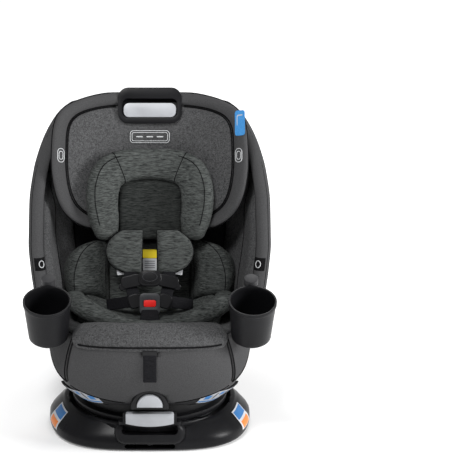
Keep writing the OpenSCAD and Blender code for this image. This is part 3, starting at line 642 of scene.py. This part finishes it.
# ---- Outer covers ----
# Knitted grey covers, foam-backed, hooked round the shells: one over the front of the bowl, one over
# each side, and one round each front edge of the back. Black cord piping closes their lower edges.
def knit(name, dark, light, streak=(900, 900, 900), speck=0.5, fuzz=0.00025, sheen=0.03, rough=0.9, patch=0.45,
         spread=0.3):
    """Knitted or woven cloth: yarn streaks in two tones, a fine ribbed surface, and a soft sheen."""
    middle = [(a + b) / 2 for a, b in zip(dark, light)]
    paint, tree, shader, place = patterned(name, middle, rough, 0.08)
    yarn = grain(tree, place, streak, 3, 0.7)
    wide = grain(tree, place, tuple(s * patch for s in streak), 2, 0.6)
    mixed = tree.nodes.new("ShaderNodeMath")
    mixed.operation = "MULTIPLY_ADD"
    tree.links.new(yarn, mixed.inputs[0])
    mixed.inputs[1].default_value = speck
    tree.links.new(between(tree, wide, 0.0, 1 - speck), mixed.inputs[2])
    tree.links.new(tint(tree, between(tree, mixed.outputs[0], 0, 1, 0.5 - spread, 0.5 + spread), dark, light),
                   shader.inputs["Base Color"])
    shader.inputs["Sheen Weight"].default_value = sheen
    shader.inputs["Sheen Roughness"].default_value = 0.45
    shader.inputs["Sheen Tint"].default_value = (*[min(c * 5, 1) for c in light], 1)
    pile = grain(tree, place, tuple(s * 1.8 for s in streak), 2)
    raised(tree, shader, pile, fuzz, raised(tree, shader, wide, 0.0006))
    return paint


cover_grey = knit("cover_grey", (0.044, 0.044, 0.045), (0.068, 0.068, 0.070), (1000, 1000, 1000), 0.6, 0.0001)
heather = knit("heather_cloth", (0.018, 0.018, 0.019), (0.108, 0.109, 0.111), (420, 420, 480), 0.85,
               spread=0.22)
slub = knit("slub_cloth", (0.009, 0.010, 0.010), (0.094, 0.101, 0.097), (85, 200, 600), 0.8, 0.0003,
            patch=0.6, spread=0.2)
# A darker copy of the slub cloth for the pad inside the head support: its darker tone is painted shade for the
# shadow in that recess.
slub_painted_shade = knit("slub_in_painted_shade", (0.003, 0.004, 0.004), (0.042, 0.045, 0.043), (85, 200, 600), 0.8, 0.0003,
                 patch=0.6, spread=0.2)
piping = knit("piping_black", (0.003, 0.003, 0.003), (0.008, 0.008, 0.009), (900, 900, 900), 0.5, 0.0001,
              0.02)
thread = knit("light_thread", (0.42, 0.43, 0.44), (0.62, 0.63, 0.64), (1500, 1500, 1500), 0.6, 0.0002, 0.2,
              0.7)


def panel_foot(a):
    """Height of the front panel's lower edge, which arches up towards both sides."""
    u = (a - 270) / 51
    return 116 + 28 * u * u


def front_panel_place(u, v, off):
    a = 219 + 102 * u
    return bowl_point(a, panel_foot(a) + (cover_top - panel_foot(a)) * v, off)


front_panel = padding("front_panel", front_panel_place, (330, 125), 4.8, 9, 0.25, (72, 28))
arch_cut = plate("bezel_cut", 77, 77, 38, -150, -260, place=(0, 0, 112), corner=16)
slot_cut = plate("strap_slot_cut", 32, 16, 4, -150, -260, place=(0, 0, 238))
cut_by(front_panel, arch_cut)
cut_by(front_panel, slot_cut)
mount(front_panel, cover_grey, "seat", "grey_cover", "front_panel")
for part, a0, a1 in (("", 220, 258.5), ("_2", 281.5, 320)):
    cord(f"front_panel_piping{part}", [bowl_point(a, panel_foot(a) + 0.5, 3.0) for a in steps(a0, a1, 24)],
         1.7, piping, "seat", "grey_cover")


def side_foot(t):
    """Height of the side cover's lower edge, which rises towards the back."""
    return 150 + 84 * t**1.5


wing_foot, wing_height = 300, 336
for side, name in both_sides:
    def side_place(u, v, off):
        a = 323 + 50 * u
        x, y, z = bowl_point(a, side_foot(u) + (cover_top - side_foot(u)) * v, off)
        return side * x, y, z

    cover = padding(f"side_cover_{name}", side_place, (190, 80), 5.0, 9, 0.25, (40, 20))
    mount(cover, cover_grey, "seat", "grey_cover", f"side_cover_{name}")
    cord(f"side_cover_{name}_piping", [side_place(u, 0.0, 3.2) for u in steps(0, 1, 30)], 1.8, piping, "seat",
         "grey_cover")
    cord(f"side_cover_{name}_seam", [side_place(0.02, v, 4.2) for v in steps(0, 1, 12)], 1.4, piping, "seat",
         "grey_cover")

    def wing_place(u, v, off):
        """u runs from the outside of the shell round its front edge to the inside, and v up it."""
        z = wing_foot + wing_height * v
        roll = 14 * (0.45 + 0.55 * crowned(min(v, 1 - v) * wing_height, 40))
        w, front = curve(back_half, z) + 4.5, curve(back_front, z)
        if u < 0.5:
            x, y, _ = back_point(48 + 42 * (u / 0.5) ** 0.8, z, 0.6 + 3.9 * crowned(u * 260, 30) + off)
            return side * x, y, z
        t = (u - 0.5) / 0.5
        turn = pi * min(t / 0.8, 1)
        x = w - roll + (roll + off) * cos(turn)
        y = front - (roll + off) * sin(turn) * 0.9 + 16 * max(t - 0.8, 0) / 0.2
        return side * x, y, z

    rows = [[wing_place(u, v, 0) for u in steps(0, 0.5, 22)[:-1] + steps(0.5, 1, 22)]
            for v in steps(0, 1, 48)]
    wing = outward(sheet(f"wing_cover_{name}", rows))
    stack(wing, "SOLIDIFY", thickness=0.003, offset=0)
    mount(wing, cover_grey, "seat", "grey_cover", f"wing_cover_{name}")
    for part, u in (("outer", 0.62), ("inner", 0.9)):
        cord(f"wing_{name}_{part}_seam", [wing_place(u, v, 0.9) for v in steps(0.01, 0.99, 60)], 1.1, piping,
             "seat", "grey_cover")
    tag_rows = [[wing_place(u, v, 2.2) for u in steps(0.66, 0.90, 10)] for v in steps(0.150, 0.218, 6)]
    mount(sheet(f"wing_{name}_tag", tag_rows), piping, "seat", "grey_cover")
    mark = [wing_place(0.78 + 0.045 * cos(a), 0.184 + 0.018 * sin(a), 2.6) for a in steps(0, 2 * pi, 20)[:-1]]
    cord(f"wing_{name}_tag_mark", mark, 0.9, thread, "seat", "grey_cover", closed=True)
    cord(f"wing_{name}_lower_hem", [wing_place(u, 0.0, 0.8) for u in steps(0.02, 0.98, 40)], 1.6, piping,
         "seat", "grey_cover")

# ---- Side bolsters inside the back shell ----
# Foam pads covered in heather cloth, one along the inside of each wing, piped where they meet it.
bolster_depth = [(262, 22), (330, 30), (440, 28), (490, 14), (520, 8)]
bolster_foot, bolster_height = 262, 238


def bolster_thick(u, v):
    return curve(bolster_depth, bolster_foot + bolster_height * v)


for side, name in both_sides:
    def bolster_place(u, v, off):
        x, y, z = back_point(44 + 44.5 * u, bolster_foot + bolster_height * v, -7.6 - off)
        return side * x, y, z

    bolster = padding(f"side_bolster_{name}", bolster_place, (200, 240), bolster_thick, 26, 0.2, (36, 34))
    mount(bolster, heather, "seat", "heather_cover", f"side_bolster_{name}")
    seam = [bolster_place(0.62, v, bolster_thick(0.62, v) + 0.3) for v in steps(0.04, 0.96, 40)]
    cord(f"side_bolster_{name}_seam", seam, 0.9, piping, "seat", "heather_cover")

# ---- Seat cushion and thigh roll ----
# A contoured foam cushion in heather cloth fills the bowl. A separate padded roll, sewn with a black
# piped seam underneath, lies across its front edge.
cushion_top = [(-222, 256), (-160, 255), (-150, 254), (-100, 246), (0, 237), (100, 231), (190, 228)]


def cushion_z(y):
    return curve(cushion_top, y)


def cushion_half(y):
    t = max(min((y + 18) / 205, 0.999), -0.999)
    return 204 * (1 - abs(t) ** 3.4) ** (1 / 3.4) * (1 + (0.27 if t < 0 else 0.05) * t)


def cushion_place(u, v, off):
    y = -216 + 326 * v
    return (2 * u - 1) * cushion_half(y), y, cushion_z(y) - 16 + off


cushion = padding("seat_cushion", cushion_place, (350, 326), 16.5, 18, 0.1, (48, 40))
mount(cushion, heather, "seat", "heather_cover", "seat_cushion")


def sweep(name, spine, wide, deep, across, sides=28, square=0.85, cap=1.0):
    """Stuffed tube along a spine. wide and deep are its half sizes at t from 0 to 1, and across(t) points along
    its width. Both ends close in a dome, flattened by cap."""
    count = len(spine)
    stations = []
    for i, p in enumerate(spine):
        t = i / (count - 1)
        before, after = Vector(spine[max(i - 1, 0)]), Vector(spine[min(i + 1, count - 1)])
        stations.append((Vector(p), t, 1.0, (after - before).normalized()))
    first, last = stations[0], stations[-1]
    for k in range(1, 7):
        turn = k * pi / 12
        grow, reach = max(cos(turn), 0.02), sin(turn) * cap
        stations.insert(0, (first[0] - first[3] * reach * wide(0), 0, grow, first[3]))
        stations.append((last[0] + last[3] * reach * wide(1), 1, grow, last[3]))
    rows = []
    for p, t, grow, along in stations:
        a = Vector(across(t))
        a = (a - along * a.dot(along)).normalized()
        b = along.cross(a)
        rows.append([tuple(p + a * wide(t) * grow * power(cos(2 * pi * j / sides), square) + b * deep(t)
                           * grow * power(sin(2 * pi * j / sides), square)) for j in range(sides)])
    return outward(sheet(name, rows, around=True, caps=True))


def on_tube(spine, wide, deep, across, angle, lift=0.0, square=0.85):
    """Path along the skin of a swept tube, at an angle round its section."""
    path = []
    for i, p in enumerate(spine):
        t = i / (len(spine) - 1)
        along = (Vector(spine[min(i + 1, len(spine) - 1)]) - Vector(spine[max(i - 1, 0)])).normalized()
        a = Vector(across(t))
        a = (a - along * a.dot(along)).normalized()
        b = along.cross(a)
        path.append(tuple(Vector(p) + a * (wide(t) + lift) * power(cos(radians(angle)), square)
                          + b * (deep(t) + lift) * power(sin(radians(angle)), square)))
    return path


def roll_spine(t):
    u = 2 * t - 1
    return 132 * u, -203 + 26 * abs(u) ** 2.4, 261 - 5 * u * u


roll_path = [roll_spine(t) for t in steps(0, 1, 40)]


def roll_wide(t):
    return 35 - 5 * abs(2 * t - 1) ** 6


def roll_deep(t):
    return 21 - 2 * abs(2 * t - 1) ** 4


def roll_across(t):
    return 0, -1, -0.48


roll = sweep("thigh_roll", roll_path, roll_wide, roll_deep, roll_across, square=0.9, cap=0.8)
mount(roll, heather, "seat", "heather_cover", "thigh_roll")
cord("thigh_roll_piping", on_tube(roll_path, roll_wide, roll_deep, roll_across, -14, 0.8, 0.9), 1.9, piping,
     "seat", "heather_cover")
cord("thigh_roll_stitching", on_tube(roll_path, roll_wide, roll_deep, roll_across, 150, 0.1), 0.6, piping,
     "seat", "heather_cover")

# ---- Back pad ----
# A flat foam pad over the middle of the shell, with the harness slots in it. Its near-black cloth is painted
# shade for the shadow that falls there.
lean_degrees = 21
lean = radians(lean_degrees)
back_foot_y, back_foot_z = 40, 235


def on_back(x, depth, up):
    """Point in the leaning frame of the backrest: depth grows backwards and up runs along the back."""
    return (x, back_foot_y + up * sin(lean) + depth * cos(lean),
            back_foot_z + up * cos(lean) - depth * sin(lean))


# Near-black cloth for the back pad: its dark tone is painted shade for the shadow between the insert and the
# headrest, not the pad's own colour.
back_pad_painted_shade = knit("back_pad_painted_shade", (0.006, 0.006, 0.007), (0.018, 0.018, 0.020), (900, 900, 900), 0.6)
back_pad_half = [(-8, 140), (100, 160), (250, 165), (340, 150), (396, 120)]
back_pad_foot, back_pad_height = -8, 404


def back_pad_place(u, v, off):
    up = back_pad_foot + back_pad_height * v
    return on_back((2 * u - 1) * curve(back_pad_half, up), 74 - off, up)


def back_pad_thick(u, v):
    """Even foam, with a shallow quilted line across its middle."""
    return 27 - 3 * (abs(v - 0.5) < 0.01)


back_pad = padding("back_pad", back_pad_place, (310, back_pad_height), back_pad_thick, 14, 0.3, (30, 60))
mount(back_pad, back_pad_painted_shade, "seat", "heather_cover", "back_pad")
for part in ("headrest_guide_tubes", "harness_splitter_plate", "headrest_rods", "headrest_lock_bar",
             "recline_link_rod", "recline_latch"):
    carry(part, zinc, 0.3)

# ---- Infant insert ----
# A removable padded liner in slub-woven grey cloth: a seat pad with a raised bumper round its front, a
# flat back panel, and two puffed sides with a curved seam.
insert_half = [(-112, 96), (-90, 132), (-50, 150), (0, 148), (48, 132)]
insert_side_rise = [(-112, 0.35), (-80, 0.9), (0, 1), (48, 1)]


def insert_place(u, v, off):
    y = -112 + 160 * v
    return (2 * u - 1) * curve(insert_half, y), y, cushion_z(y) + 1 + off


def insert_thick(u, v):
    return 12 + 30 * abs(2 * u - 1) ** 2.6 * curve(insert_side_rise, -112 + 160 * v)


insert_seat = padding("insert_seat", insert_place, (290, 160), insert_thick, 12, 0.4, (44, 30))
mount(insert_seat, slub, "seat", "insert_fabric", "infant_insert")


def spline_through(knots, count):
    """Smooth path through knots by Catmull-Rom curves."""
    ends = [tuple(2 * a - b for a, b in zip(knots[0], knots[1]))] + list(knots)
    ends.append(tuple(2 * a - b for a, b in zip(knots[-1], knots[-2])))
    path = []
    for i in range(count + 1):
        place = min(i / count * (len(knots) - 1), len(knots) - 1 - 1e-9)
        k, t = int(place), place - int(place)
        p0, p1, p2, p3 = ends[k:k + 4]
        path.append(tuple(0.5 * (2 * b + (c - a) * t + (2 * a - 5 * b + 4 * c - d) * t**2
                                 + (3 * b - a - 3 * c + d) * t**3) for a, b, c, d in zip(p0, p1, p2, p3)))
    return path


half_bumper = [(150, 60, 262), (157, 20, 270), (157, -20, 277), (141, -60, 277), (106, -92, 268),
               (68, -108, 263), (34, -114, 260)]
bumper_path = spline_through([(-x, y, z) for x, y, z in half_bumper] + [(0, -117, 259)] + half_bumper[::-1],
                             90)
bumper_size = [(0, 12), (0.12, 19), (0.25, 22), (0.33, 18), (0.38, 11), (0.5, 8)]


def bumper_wide(t):
    return 1.1 * curve(bumper_size, min(t, 1 - t)) + 2


def bumper_deep(t):
    return 0.85 * curve(bumper_size, min(t, 1 - t))


def bumper_across(t):
    return cos(pi * (1 - t)), -sin(pi * (1 - t)), 0.15


bumper = sweep("insert_bumper", bumper_path, bumper_wide, bumper_deep, bumper_across, square=0.92)
mount(bumper, slub, "seat", "insert_fabric")
insert_outer = [(20, 166), (40, 180), (76, 187), (108, 180), (134, 156), (150, 116)]
insert_puff = [(20, 0.4), (48, 1), (110, 1), (150, 0.35)]
insert_height, insert_middle_half = 130, 88


def side_pad_thick(u, v):
    return 51 + 26 * u + 64 * u * (1 - u) * curve(insert_puff, 20 + insert_height * v)


def side_pad_seam(v):
    """Where the curved seam runs: its share across the side pad, its share up it, and its height."""
    u = 0.80 - 0.18 * v
    return u, v, side_pad_thick(u, v) * (0.3 + 0.7 * crowned(min(v, 1 - v) * insert_height, 20)) + 0.2


for side, name in both_sides:
    def side_pad_place(u, v, off):
        up = 20 + insert_height * v
        x = insert_middle_half + (curve(insert_outer, up) - insert_middle_half) * u
        return on_back(side * x, 45 - off, up)

    side_pad = padding(f"insert_side_{name}", side_pad_place, (82, insert_height), side_pad_thick, 20, 0.3,
                       (30, 36))
    mount(side_pad, slub, "seat", "insert_fabric")
    seam = [side_pad_place(*side_pad_seam(v)) for v in steps(0.03, 0.97, 40)]
    cord(f"insert_side_{name}_seam", seam, 0.9, piping, "seat", "insert_fabric")
    edge = [side_pad_place(0.07, v, 40 + 6 * sin(pi * v)) for v in steps(0.05, 0.95, 30)]
    cord(f"insert_side_{name}_edge", edge, 0.9, piping, "seat", "insert_fabric")


def insert_back_place(u, v, off):
    return on_back(-insert_middle_half + 2 * insert_middle_half * u, 44 - off, 16 + insert_height * v)


insert_back = padding("insert_back_panel", insert_back_place, (2 * insert_middle_half, insert_height), 22, 12,
                      0.5, (24, 24))
mount(insert_back, slub, "seat", "insert_fabric")

# ---- Harness webbing ----
# Woven polyester straps, 1.6 mm thick: two shoulder straps, two hip straps, the adjuster strap that hangs
# out of the front panel, and a short crotch strap in a padded sleeve.
webbing = knit("webbing", (0.004, 0.004, 0.005), (0.014, 0.014, 0.016), (300, 1400, 1400), 0.6, 0.0003, 0.04,
               0.75)


def ribbon(name, path, width, thick, across):
    """Flat strap of a constant width along a path, with rounded edges."""
    rows = []
    for i, p in enumerate(path):
        along = (Vector(path[min(i + 1, len(path) - 1)]) - Vector(path[max(i - 1, 0)])).normalized()
        a = Vector(across)
        a = (a - along * a.dot(along)).normalized()
        b = along.cross(a)
        rows.append([tuple(Vector(p) + a * width / 2 * c + b * thick / 2 * d)
                     for c, d in ((1, 0), (0.94, 0.9), (0.8, 1), (0, 1), (-0.8, 1), (-0.94, 0.9), (-1, 0),
                                  (-0.94, -0.9), (-0.8, -1), (0, -1), (0.8, -1), (0.94, -0.9))])
    return outward(sheet(name, rows, around=True, caps=True))


strap_knots = [(30, -112, 10), (33, -95, 24), (37, -79, 38), (40, -72, 50), (41, -69, 72), (41, -52, 92),
               (41, -50, 165)]
hip_knots = [(30, -113, 14), (46, -102, 13), (62, -91, 11), (90, -68, 8)]
for side, name in both_sides:
    path = spline_through([on_back(side * x, depth, up) for x, depth, up in strap_knots], 48)
    strap = ribbon(f"shoulder_strap_{name}", path, 26, 1.6, (1, 0, 0))
    path = spline_through([on_back(side * x, depth, up) for x, depth, up in hip_knots], 24)
    hip = ribbon(f"hip_strap_{name}", path, 24, 1.6, on_back(0, 0, 1000))
    mount(strap, webbing, "seat", "webbing", *(("shoulder_straps",) if side < 0 else ()))
    mount(hip, webbing, "seat", "webbing", *(("hip_straps",) if side < 0 else ()))


def crotch_place(u, v, off):
    return (2 * u - 1) * (17 + 4 * (1 - v)), -106 + 32 * v, 257 + 13 * v**0.8 + off


crotch = padding("crotch_sleeve", crotch_place, (38, 36), 7, 5, 0.3, (14, 14))
mount(crotch, webbing, "seat", "webbing", "crotch_strap")
adjuster_knots = [(0, -229, 240), (0, -234.5, 230), (0, -233.8, 205), (0, -232.6, 190), (0, -231, 177)]
adjuster = ribbon("adjuster_strap", spline_through(adjuster_knots, 30), 26, 1.8, (1, 0, 0))
mount(adjuster, webbing, "seat", "webbing", "adjuster_strap")
adjuster_hem = rounded(plate("adjuster_strap_hem", 27, 9, 2, 2.0, -2.0, place=(0, -231.6, 181)), 1.0)
mount(adjuster_hem, webbing, "seat", "webbing")

# ---- Buckle, tongues and chest clip ----
# Black moulded hardware on the webbing: a crotch buckle with a red release button and two plated tongues,
# and a wide chest clip with an oval release in its middle.
hardware = moulding("hardware_black", (0.006, 0.006, 0.007), 0.34, 2600, 0.00002, 0.22)
buckle_grey = moulding("buckle_grey", (0.026, 0.027, 0.030), 0.36, 2600, 0.00002, 0.35)
button_red = moulding("button_red", (0.62, 0.015, 0.012), 0.34, 2600, 0.00001)
carry("buckle_housing", buckle_grey, 2.2)
carry("buckle_button", button_red, 1.2)
carry("buckle_tongues", hardware, 0.6)
carry("chest_clip_button", hardware, 1.6)


def lean_plate(name, w, h, r, back, front, x, depth, up, spin=0.0, edge=2.0):
    """Rounded plate that lies in the backrest's leaning frame, turned in its own plane by spin degrees."""
    piece = plate(name, w, h, r, back, front)
    piece.data.transform(Matrix.Translation(Vector(on_back(x, depth, up)) / 1000)
                         @ Matrix.Rotation(-lean, 4, "X") @ Matrix.Rotation(radians(spin), 4, "Y"))
    if edge:
        rounded(piece, edge, 3)
    return piece


mount(lean_plate("chest_clip_middle", 50, 34, 15, 6, -6, 0, -78, 63, 0, 2.5), hardware, "seat",
      "buckle_plastic", "chest_clip")
for side, name in both_sides:
    mount(lean_plate(f"chest_clip_wing_{name}", 46, 27, 10, 5.5, -5.5, side * 38, -77.5, 57, side * 13, 2.5),
          hardware, "seat", "buckle_plastic")
    mount(lean_plate(f"chest_clip_tip_{name}", 24, 15, 6, 4, -4.6, side * 53, -77.5, 47, side * 24, 1.8),
          hardware, "seat", "buckle_plastic")
    mount(lean_plate(f"buckle_lobe_{name}", 27, 30, 9, 4, -4, side * 31, -114, 14, side * 18, 2.2), hardware,
          "seat", "buckle_plastic")
cord("chest_clip_groove", [on_back(15 * cos(a), -86.4, 66 + 9.5 * sin(a)) for a in steps(0, 2 * pi, 40)[:-1]],
     0.7, buckle_grey, "seat", "buckle_plastic", closed=True)

# ---- Harness pads ----
# Two D-shaped foam pads in slub cloth round the shoulder straps, bound with black piping. Between them
# sit two blank sewn-in labels.
pad_outer = [(74, 40), (78, 56), (88, 76), (104, 88), (122, 92), (138, 88), (152, 78), (166, 58)]
for side, name in both_sides:
    def pad_place(u, v, off):
        up = 74 + 92 * v
        inner = 15 + 3 * (1 - v)
        return on_back(side * (inner + (curve(pad_outer, up) - inner) * u), -53.5 - off, up)

    pad = padding(f"harness_pad_{name}", pad_place, (70, 92), 12.5, 11, 0.25, (26, 32))
    mount(pad, slub, "seat", "insert_fabric", f"harness_pad_{name}")
    rim = [(u, 0) for u in steps(0, 1, 12)] + [(1, v) for v in steps(0.04, 1, 24)]
    rim += [(u, 1) for u in steps(0.95, 0, 10)] + [(0, v) for v in steps(0.96, 0.04, 20)]
    cord(f"harness_pad_{name}_piping", [pad_place(u, v, 1.6) for u, v in rim], 1.5, piping, "seat",
         "insert_fabric", closed=True)
    mount(lean_plate(f"pad_tab_{name}", 17, 14, 2, 1, -1, side * 61, -52, 79, side * 8, 0.4), label_white,
          "seat", "webbing")
label_yellow = moulding("label_yellow", (0.78, 0.60, 0.02), 0.5)
mount(lean_plate("warning_flag_upper", 30, 19, 1.5, 0.6, -0.6, 0, 19.5, 121, 0, 0.3), label_yellow, "seat",
      "webbing")
mount(lean_plate("warning_flag_lower", 30, 26, 1.5, 0.6, -0.6, 0, 19.5, 98, 0, 0.3), label_white, "seat",
      "webbing")
label_ink = moulding("label_ink", (0.16, 0.16, 0.17), 0.6)
for i in range(4):
    mount(lean_plate(f"warning_flag_line_{i + 1}", 22, 1.6, 0.4, 0.3, -0.3, 0, 18.6, 105 - 4.6 * i, 0, 0),
          label_ink, "seat", "webbing")

# ---- Headrest ----
# A plastic frame with a padded cover that slides on two steel rods: a grey knit border rolled round its
# edge, a heather panel inside double black piping, and a black grab handle with a silver squeeze lever.
head_half = [(172, 142), (186, 166), (203, 184), (225, 194), (252, 202), (307, 208), (373, 206), (400, 202),
             (417, 195), (430, 186), (439, 176), (448, 158), (456, 136), (464, 104)]
head_wing = [(172, 54), (203, 64), (300, 82), (400, 66), (464, 30)]
head_low, head_high, head_top_half = 172, 464, 104


def head_surface(x, up):
    """Depth of the headrest's face, which comes forward towards its sides."""
    return -curve(head_wing, up) * (abs(x) / curve(head_half, up)) ** 2.4


side_run = [(curve(head_half, up), up) for up in steps(head_low, head_high, 40)]
top_run = [(x, head_high + 5 * (1 - (x / head_top_half) ** 2)) for x in steps(98, -98, 20)]
bottom_run = [(x, 171) for x in steps(-136, 136, 28)]
outline = side_run + top_run + [(-x, up) for x, up in side_run[::-1]] + bottom_run
for _ in range(7):
    neighbours = zip(outline[-1:] + outline[:-1], outline, outline[1:] + outline[:1])
    outline = [tuple(0.25 * a + 0.5 * b + 0.25 * c for a, b, c in zip(*three)) for three in neighbours]
middle_up = 315
border = 31


def head_ring(inset, share, depth):
    """Ring of points inset from the outline by a distance, then drawn in to a share of what is left."""
    ring = []
    for x, up in outline:
        reach = hypot(x, up - middle_up)
        k = (1 - inset / reach) * share
        px, pu = x * k, middle_up + (up - middle_up) * k
        ring.append(on_back(px, head_surface(px, pu) + depth, pu))
    return ring


border_profile = [(0, 14), (0.4, 9), (0.8, 4), (2.5, 0), (6, -4.5), (11, -7.5), (17, -8.5), (23, -7.5),
                  (27, -4.5), (29.5, -1), (31, 0.6)]
head_border = sheet("headrest_border", [head_ring(inset, 1, depth) for inset, depth in border_profile],
                    around=True)
outward(head_border)
panel_profile = [(1.0, 0.8), (0.985, -1.5), (0.96, -3.5), (0.92, -5), (0.86, -6), (0.78, -6), (0.68, -5.5),
                 (0.56, -5), (0.44, -4.5), (0.32, -4), (0.2, -4), (0.1, -4), (0.02, -4)]
head_panel = sheet("headrest_panel", [head_ring(border, share, depth) for share, depth in panel_profile],
                   around=True)
outward(head_panel)
for piece in (head_border, head_panel):
    stack(piece, "SOLIDIFY", thickness=0.003, offset=-1)
    applied(piece)
    handle_cut = plate("handle_cut", 132, 74, 22, 60, -60, turn=-lean_degrees, place=on_back(0, 0, 438))
    cut_by(piece, handle_cut)
mount(head_border, cover_grey, "headrest", "grey_cover", "headrest_cover")
mount(head_panel, heather, "headrest", "heather_cover")
handle_half, handle_foot = 68, 398


def clear_of_handle(path):
    """The part of a closed path that isn't behind the handle, as an open path from one side to the other."""
    inside = [abs(x) < handle_half and z > back_foot_z + handle_foot * cos(lean) for x, y, z in path]
    start = next(i for i in range(len(path)) if inside[i - 1] and not inside[i])
    ordered = path[start:] + path[:start]
    return [p for p, hidden in zip(ordered, inside[start:] + inside[:start]) if not hidden]


for part, inset, depth, r in (("outer", border - 1.2, -1.8, 1.5), ("inner", border + 2.8, -2.6, 1.2)):
    cord(f"headrest_piping_{part}", clear_of_handle(head_ring(inset, 1, depth)), r, piping, "headrest",
         "grey_cover")
cord("headrest_edge_seam", head_ring(0.6, 1, 4), 1.3, piping, "headrest", "grey_cover", closed=True)

frame_black = moulding("frame_black", (0.006, 0.006, 0.007), 0.4, 2600, 0.00003, 0.12)
carry("headrest_frame", frame_black, 1.6)
carry("headrest_lever", silver, 2.0)

# ---- Patches on the headrest ----
# Stitched decorations: a blank rounded patch in light thread on the panel, a plain square badge on each
# side of the border, and a woven blue tag sewn to one of them.


def on_panel(x, up, lift):
    return on_back(x, head_surface(x, up) - 6 - lift, up)


for i, (w, h, r) in enumerate(((84, 26, 7), (76, 18, 4))):
    cord(f"patch_stitch_{i + 1}", [on_panel(x, 371 + up, 0.2) for x, up in rounded_loop(w, h, r)], 0.8,
         thread, "headrest", "heather_cover", closed=True)
for i, x0 in enumerate((-22, 0, 22)):
    cord(f"patch_bar_{i + 1}", [on_panel(x0 + x, 371, 0.2) for x in steps(-7, 7, 6)], 1.6, thread, "headrest",
         "heather_cover")


def on_border(side, x, up, lift):
    return on_back(side * x, head_surface(x, up) - 8.6 - lift, up)


for side, name in both_sides:
    for i, size in enumerate((22, 13)):
        square = rounded_loop(size * 0.75, size, size * 0.3)
        stitches = [on_border(side, 187 + 0.8 * x, 323 + up * 1.3, 0.3) for x, up in square]
        cord(f"badge_{name}_{i + 1}", stitches, 0.8, thread, "headrest", "grey_cover", closed=True)
tag_blue = knit("tag_blue", (0.04, 0.20, 0.50), (0.08, 0.32, 0.68), (1200, 1200, 1200), 0.6, 0.0001, 0.2, 0.7)


def tag(name, w, h, r, lift, paint):
    loop = rounded_loop(w, h, r, 5)
    skins = [[on_border(1, 190 + x * 0.75, 392 + up, off) for x, up in loop] for off in (lift, lift - 1.2)]
    mount(outward(sheet(name, skins, around=True, caps=True, smooth=False)), paint, "headrest", "grey_cover")


tag("side_tag", 27, 54, 6, 1.4, tag_blue)
tag("side_tag_white", 17, 36, 4, 1.9, thread)
tag("side_tag_middle", 13, 31, 3, 2.4, tag_blue)

# ---- Infant head support ----
# A horseshoe bolster of slub cloth on the headrest: two side wings and an arch sewn to them at mitred
# seams, round a flat recessed pad.
support_knots = [(-92, 164), (-97, 192), (-101, 224), (-99, 258), (-86, 288), (-52, 306), (0, 311)]
support_knots += [(-x, up) for x, up in support_knots[-2::-1]]


def support_place(x, up):
    return on_back(x, head_surface(x, max(up, 203)) - 24 - 10 * (1 - ((up - 160) / 151) ** 2), up)


support_path = spline_through([support_place(x, up) for x, up in support_knots], 96)


def support_wide(t):
    return curve([(0, 26), (0.08, 32), (0.22, 35), (0.34, 36), (0.42, 34), (0.5, 32)], min(t, 1 - t))


def support_deep(t):
    return curve([(0, 16), (0.1, 20), (0.3, 20), (0.5, 16)], min(t, 1 - t))


def support_across(t):
    """Outwards from the middle of the horseshoe, in the plane of the back and a little forwards."""
    u = 2 * t - 1
    a = radians(90 - 100 * u)
    reach = Vector(on_back(cos(a) * 1000, -500 * abs(u), sin(a) * 1000)) - Vector(on_back(0, 0, 0))
    return reach.normalized()


support = sweep("head_support_bolster", support_path, support_wide, support_deep, support_across, sides=36,
                square=0.72, cap=0.7)
mount(support, slub, "headrest", "insert_fabric", "infant_head_support")
seam_side = on_tube(support_path, support_wide, support_deep, support_across, 58, 0.2, 0.72)
for name, path in (("left", seam_side[4:40]), ("right", seam_side[57:93])):
    cord(f"head_support_seam_{name}", path, 0.9, piping, "headrest", "insert_fabric")
around_tube = [on_tube(support_path, support_wide, support_deep, support_across, angle, 0.2, 0.72)
               for angle in steps(-20, 200, 24)]
for name, at in (("left", 37), ("right", 59)):
    cord(f"head_support_mitre_{name}", [path[at] for path in around_tube], 0.9, piping, "headrest",
         "insert_fabric")


def support_pad_place(u, v, off):
    x, up = -68 + 136 * u, 150 + 140 * v
    return on_back(x, head_surface(x, max(up, 203)) - 8 - off, up)


support_pad = padding("head_support_pad", support_pad_place, (136, 140), 13, 16, 0.3, (30, 30))
# The recessed pad takes the darker slub copy: painted shade, not a different cloth.
mount(support_pad, slub_painted_shade, "headrest", "insert_fabric")

# ---- Cup holders ----
# Matt black tapered cups with a rolled rim, hung on grey bracket rails at both sides. Each lifts off
# along its rail.
cup_black = moulding("cup_black", (0.005, 0.005, 0.006), 0.42, 1500, 0.00006, 0.16)
bracket_grey = moulding("bracket_grey", (0.030, 0.030, 0.032), 0.5)
carry("cup_holder_left", cup_black, 0.8)
carry("cup_holder_right", cup_black, 0.8)
carry("cup_brackets", bracket_grey, 1.6)

# ---- Recline and adjuster controls ----
# A silver half-moon pull in a black arched bezel at the foot of the front panel, and a black harness
# adjuster button over its strap.
carry("recline_bezel", hardware, 1.0)
carry("recline_handle", silver, 1.6)
carry("adjuster_button", hardware, 1.0)
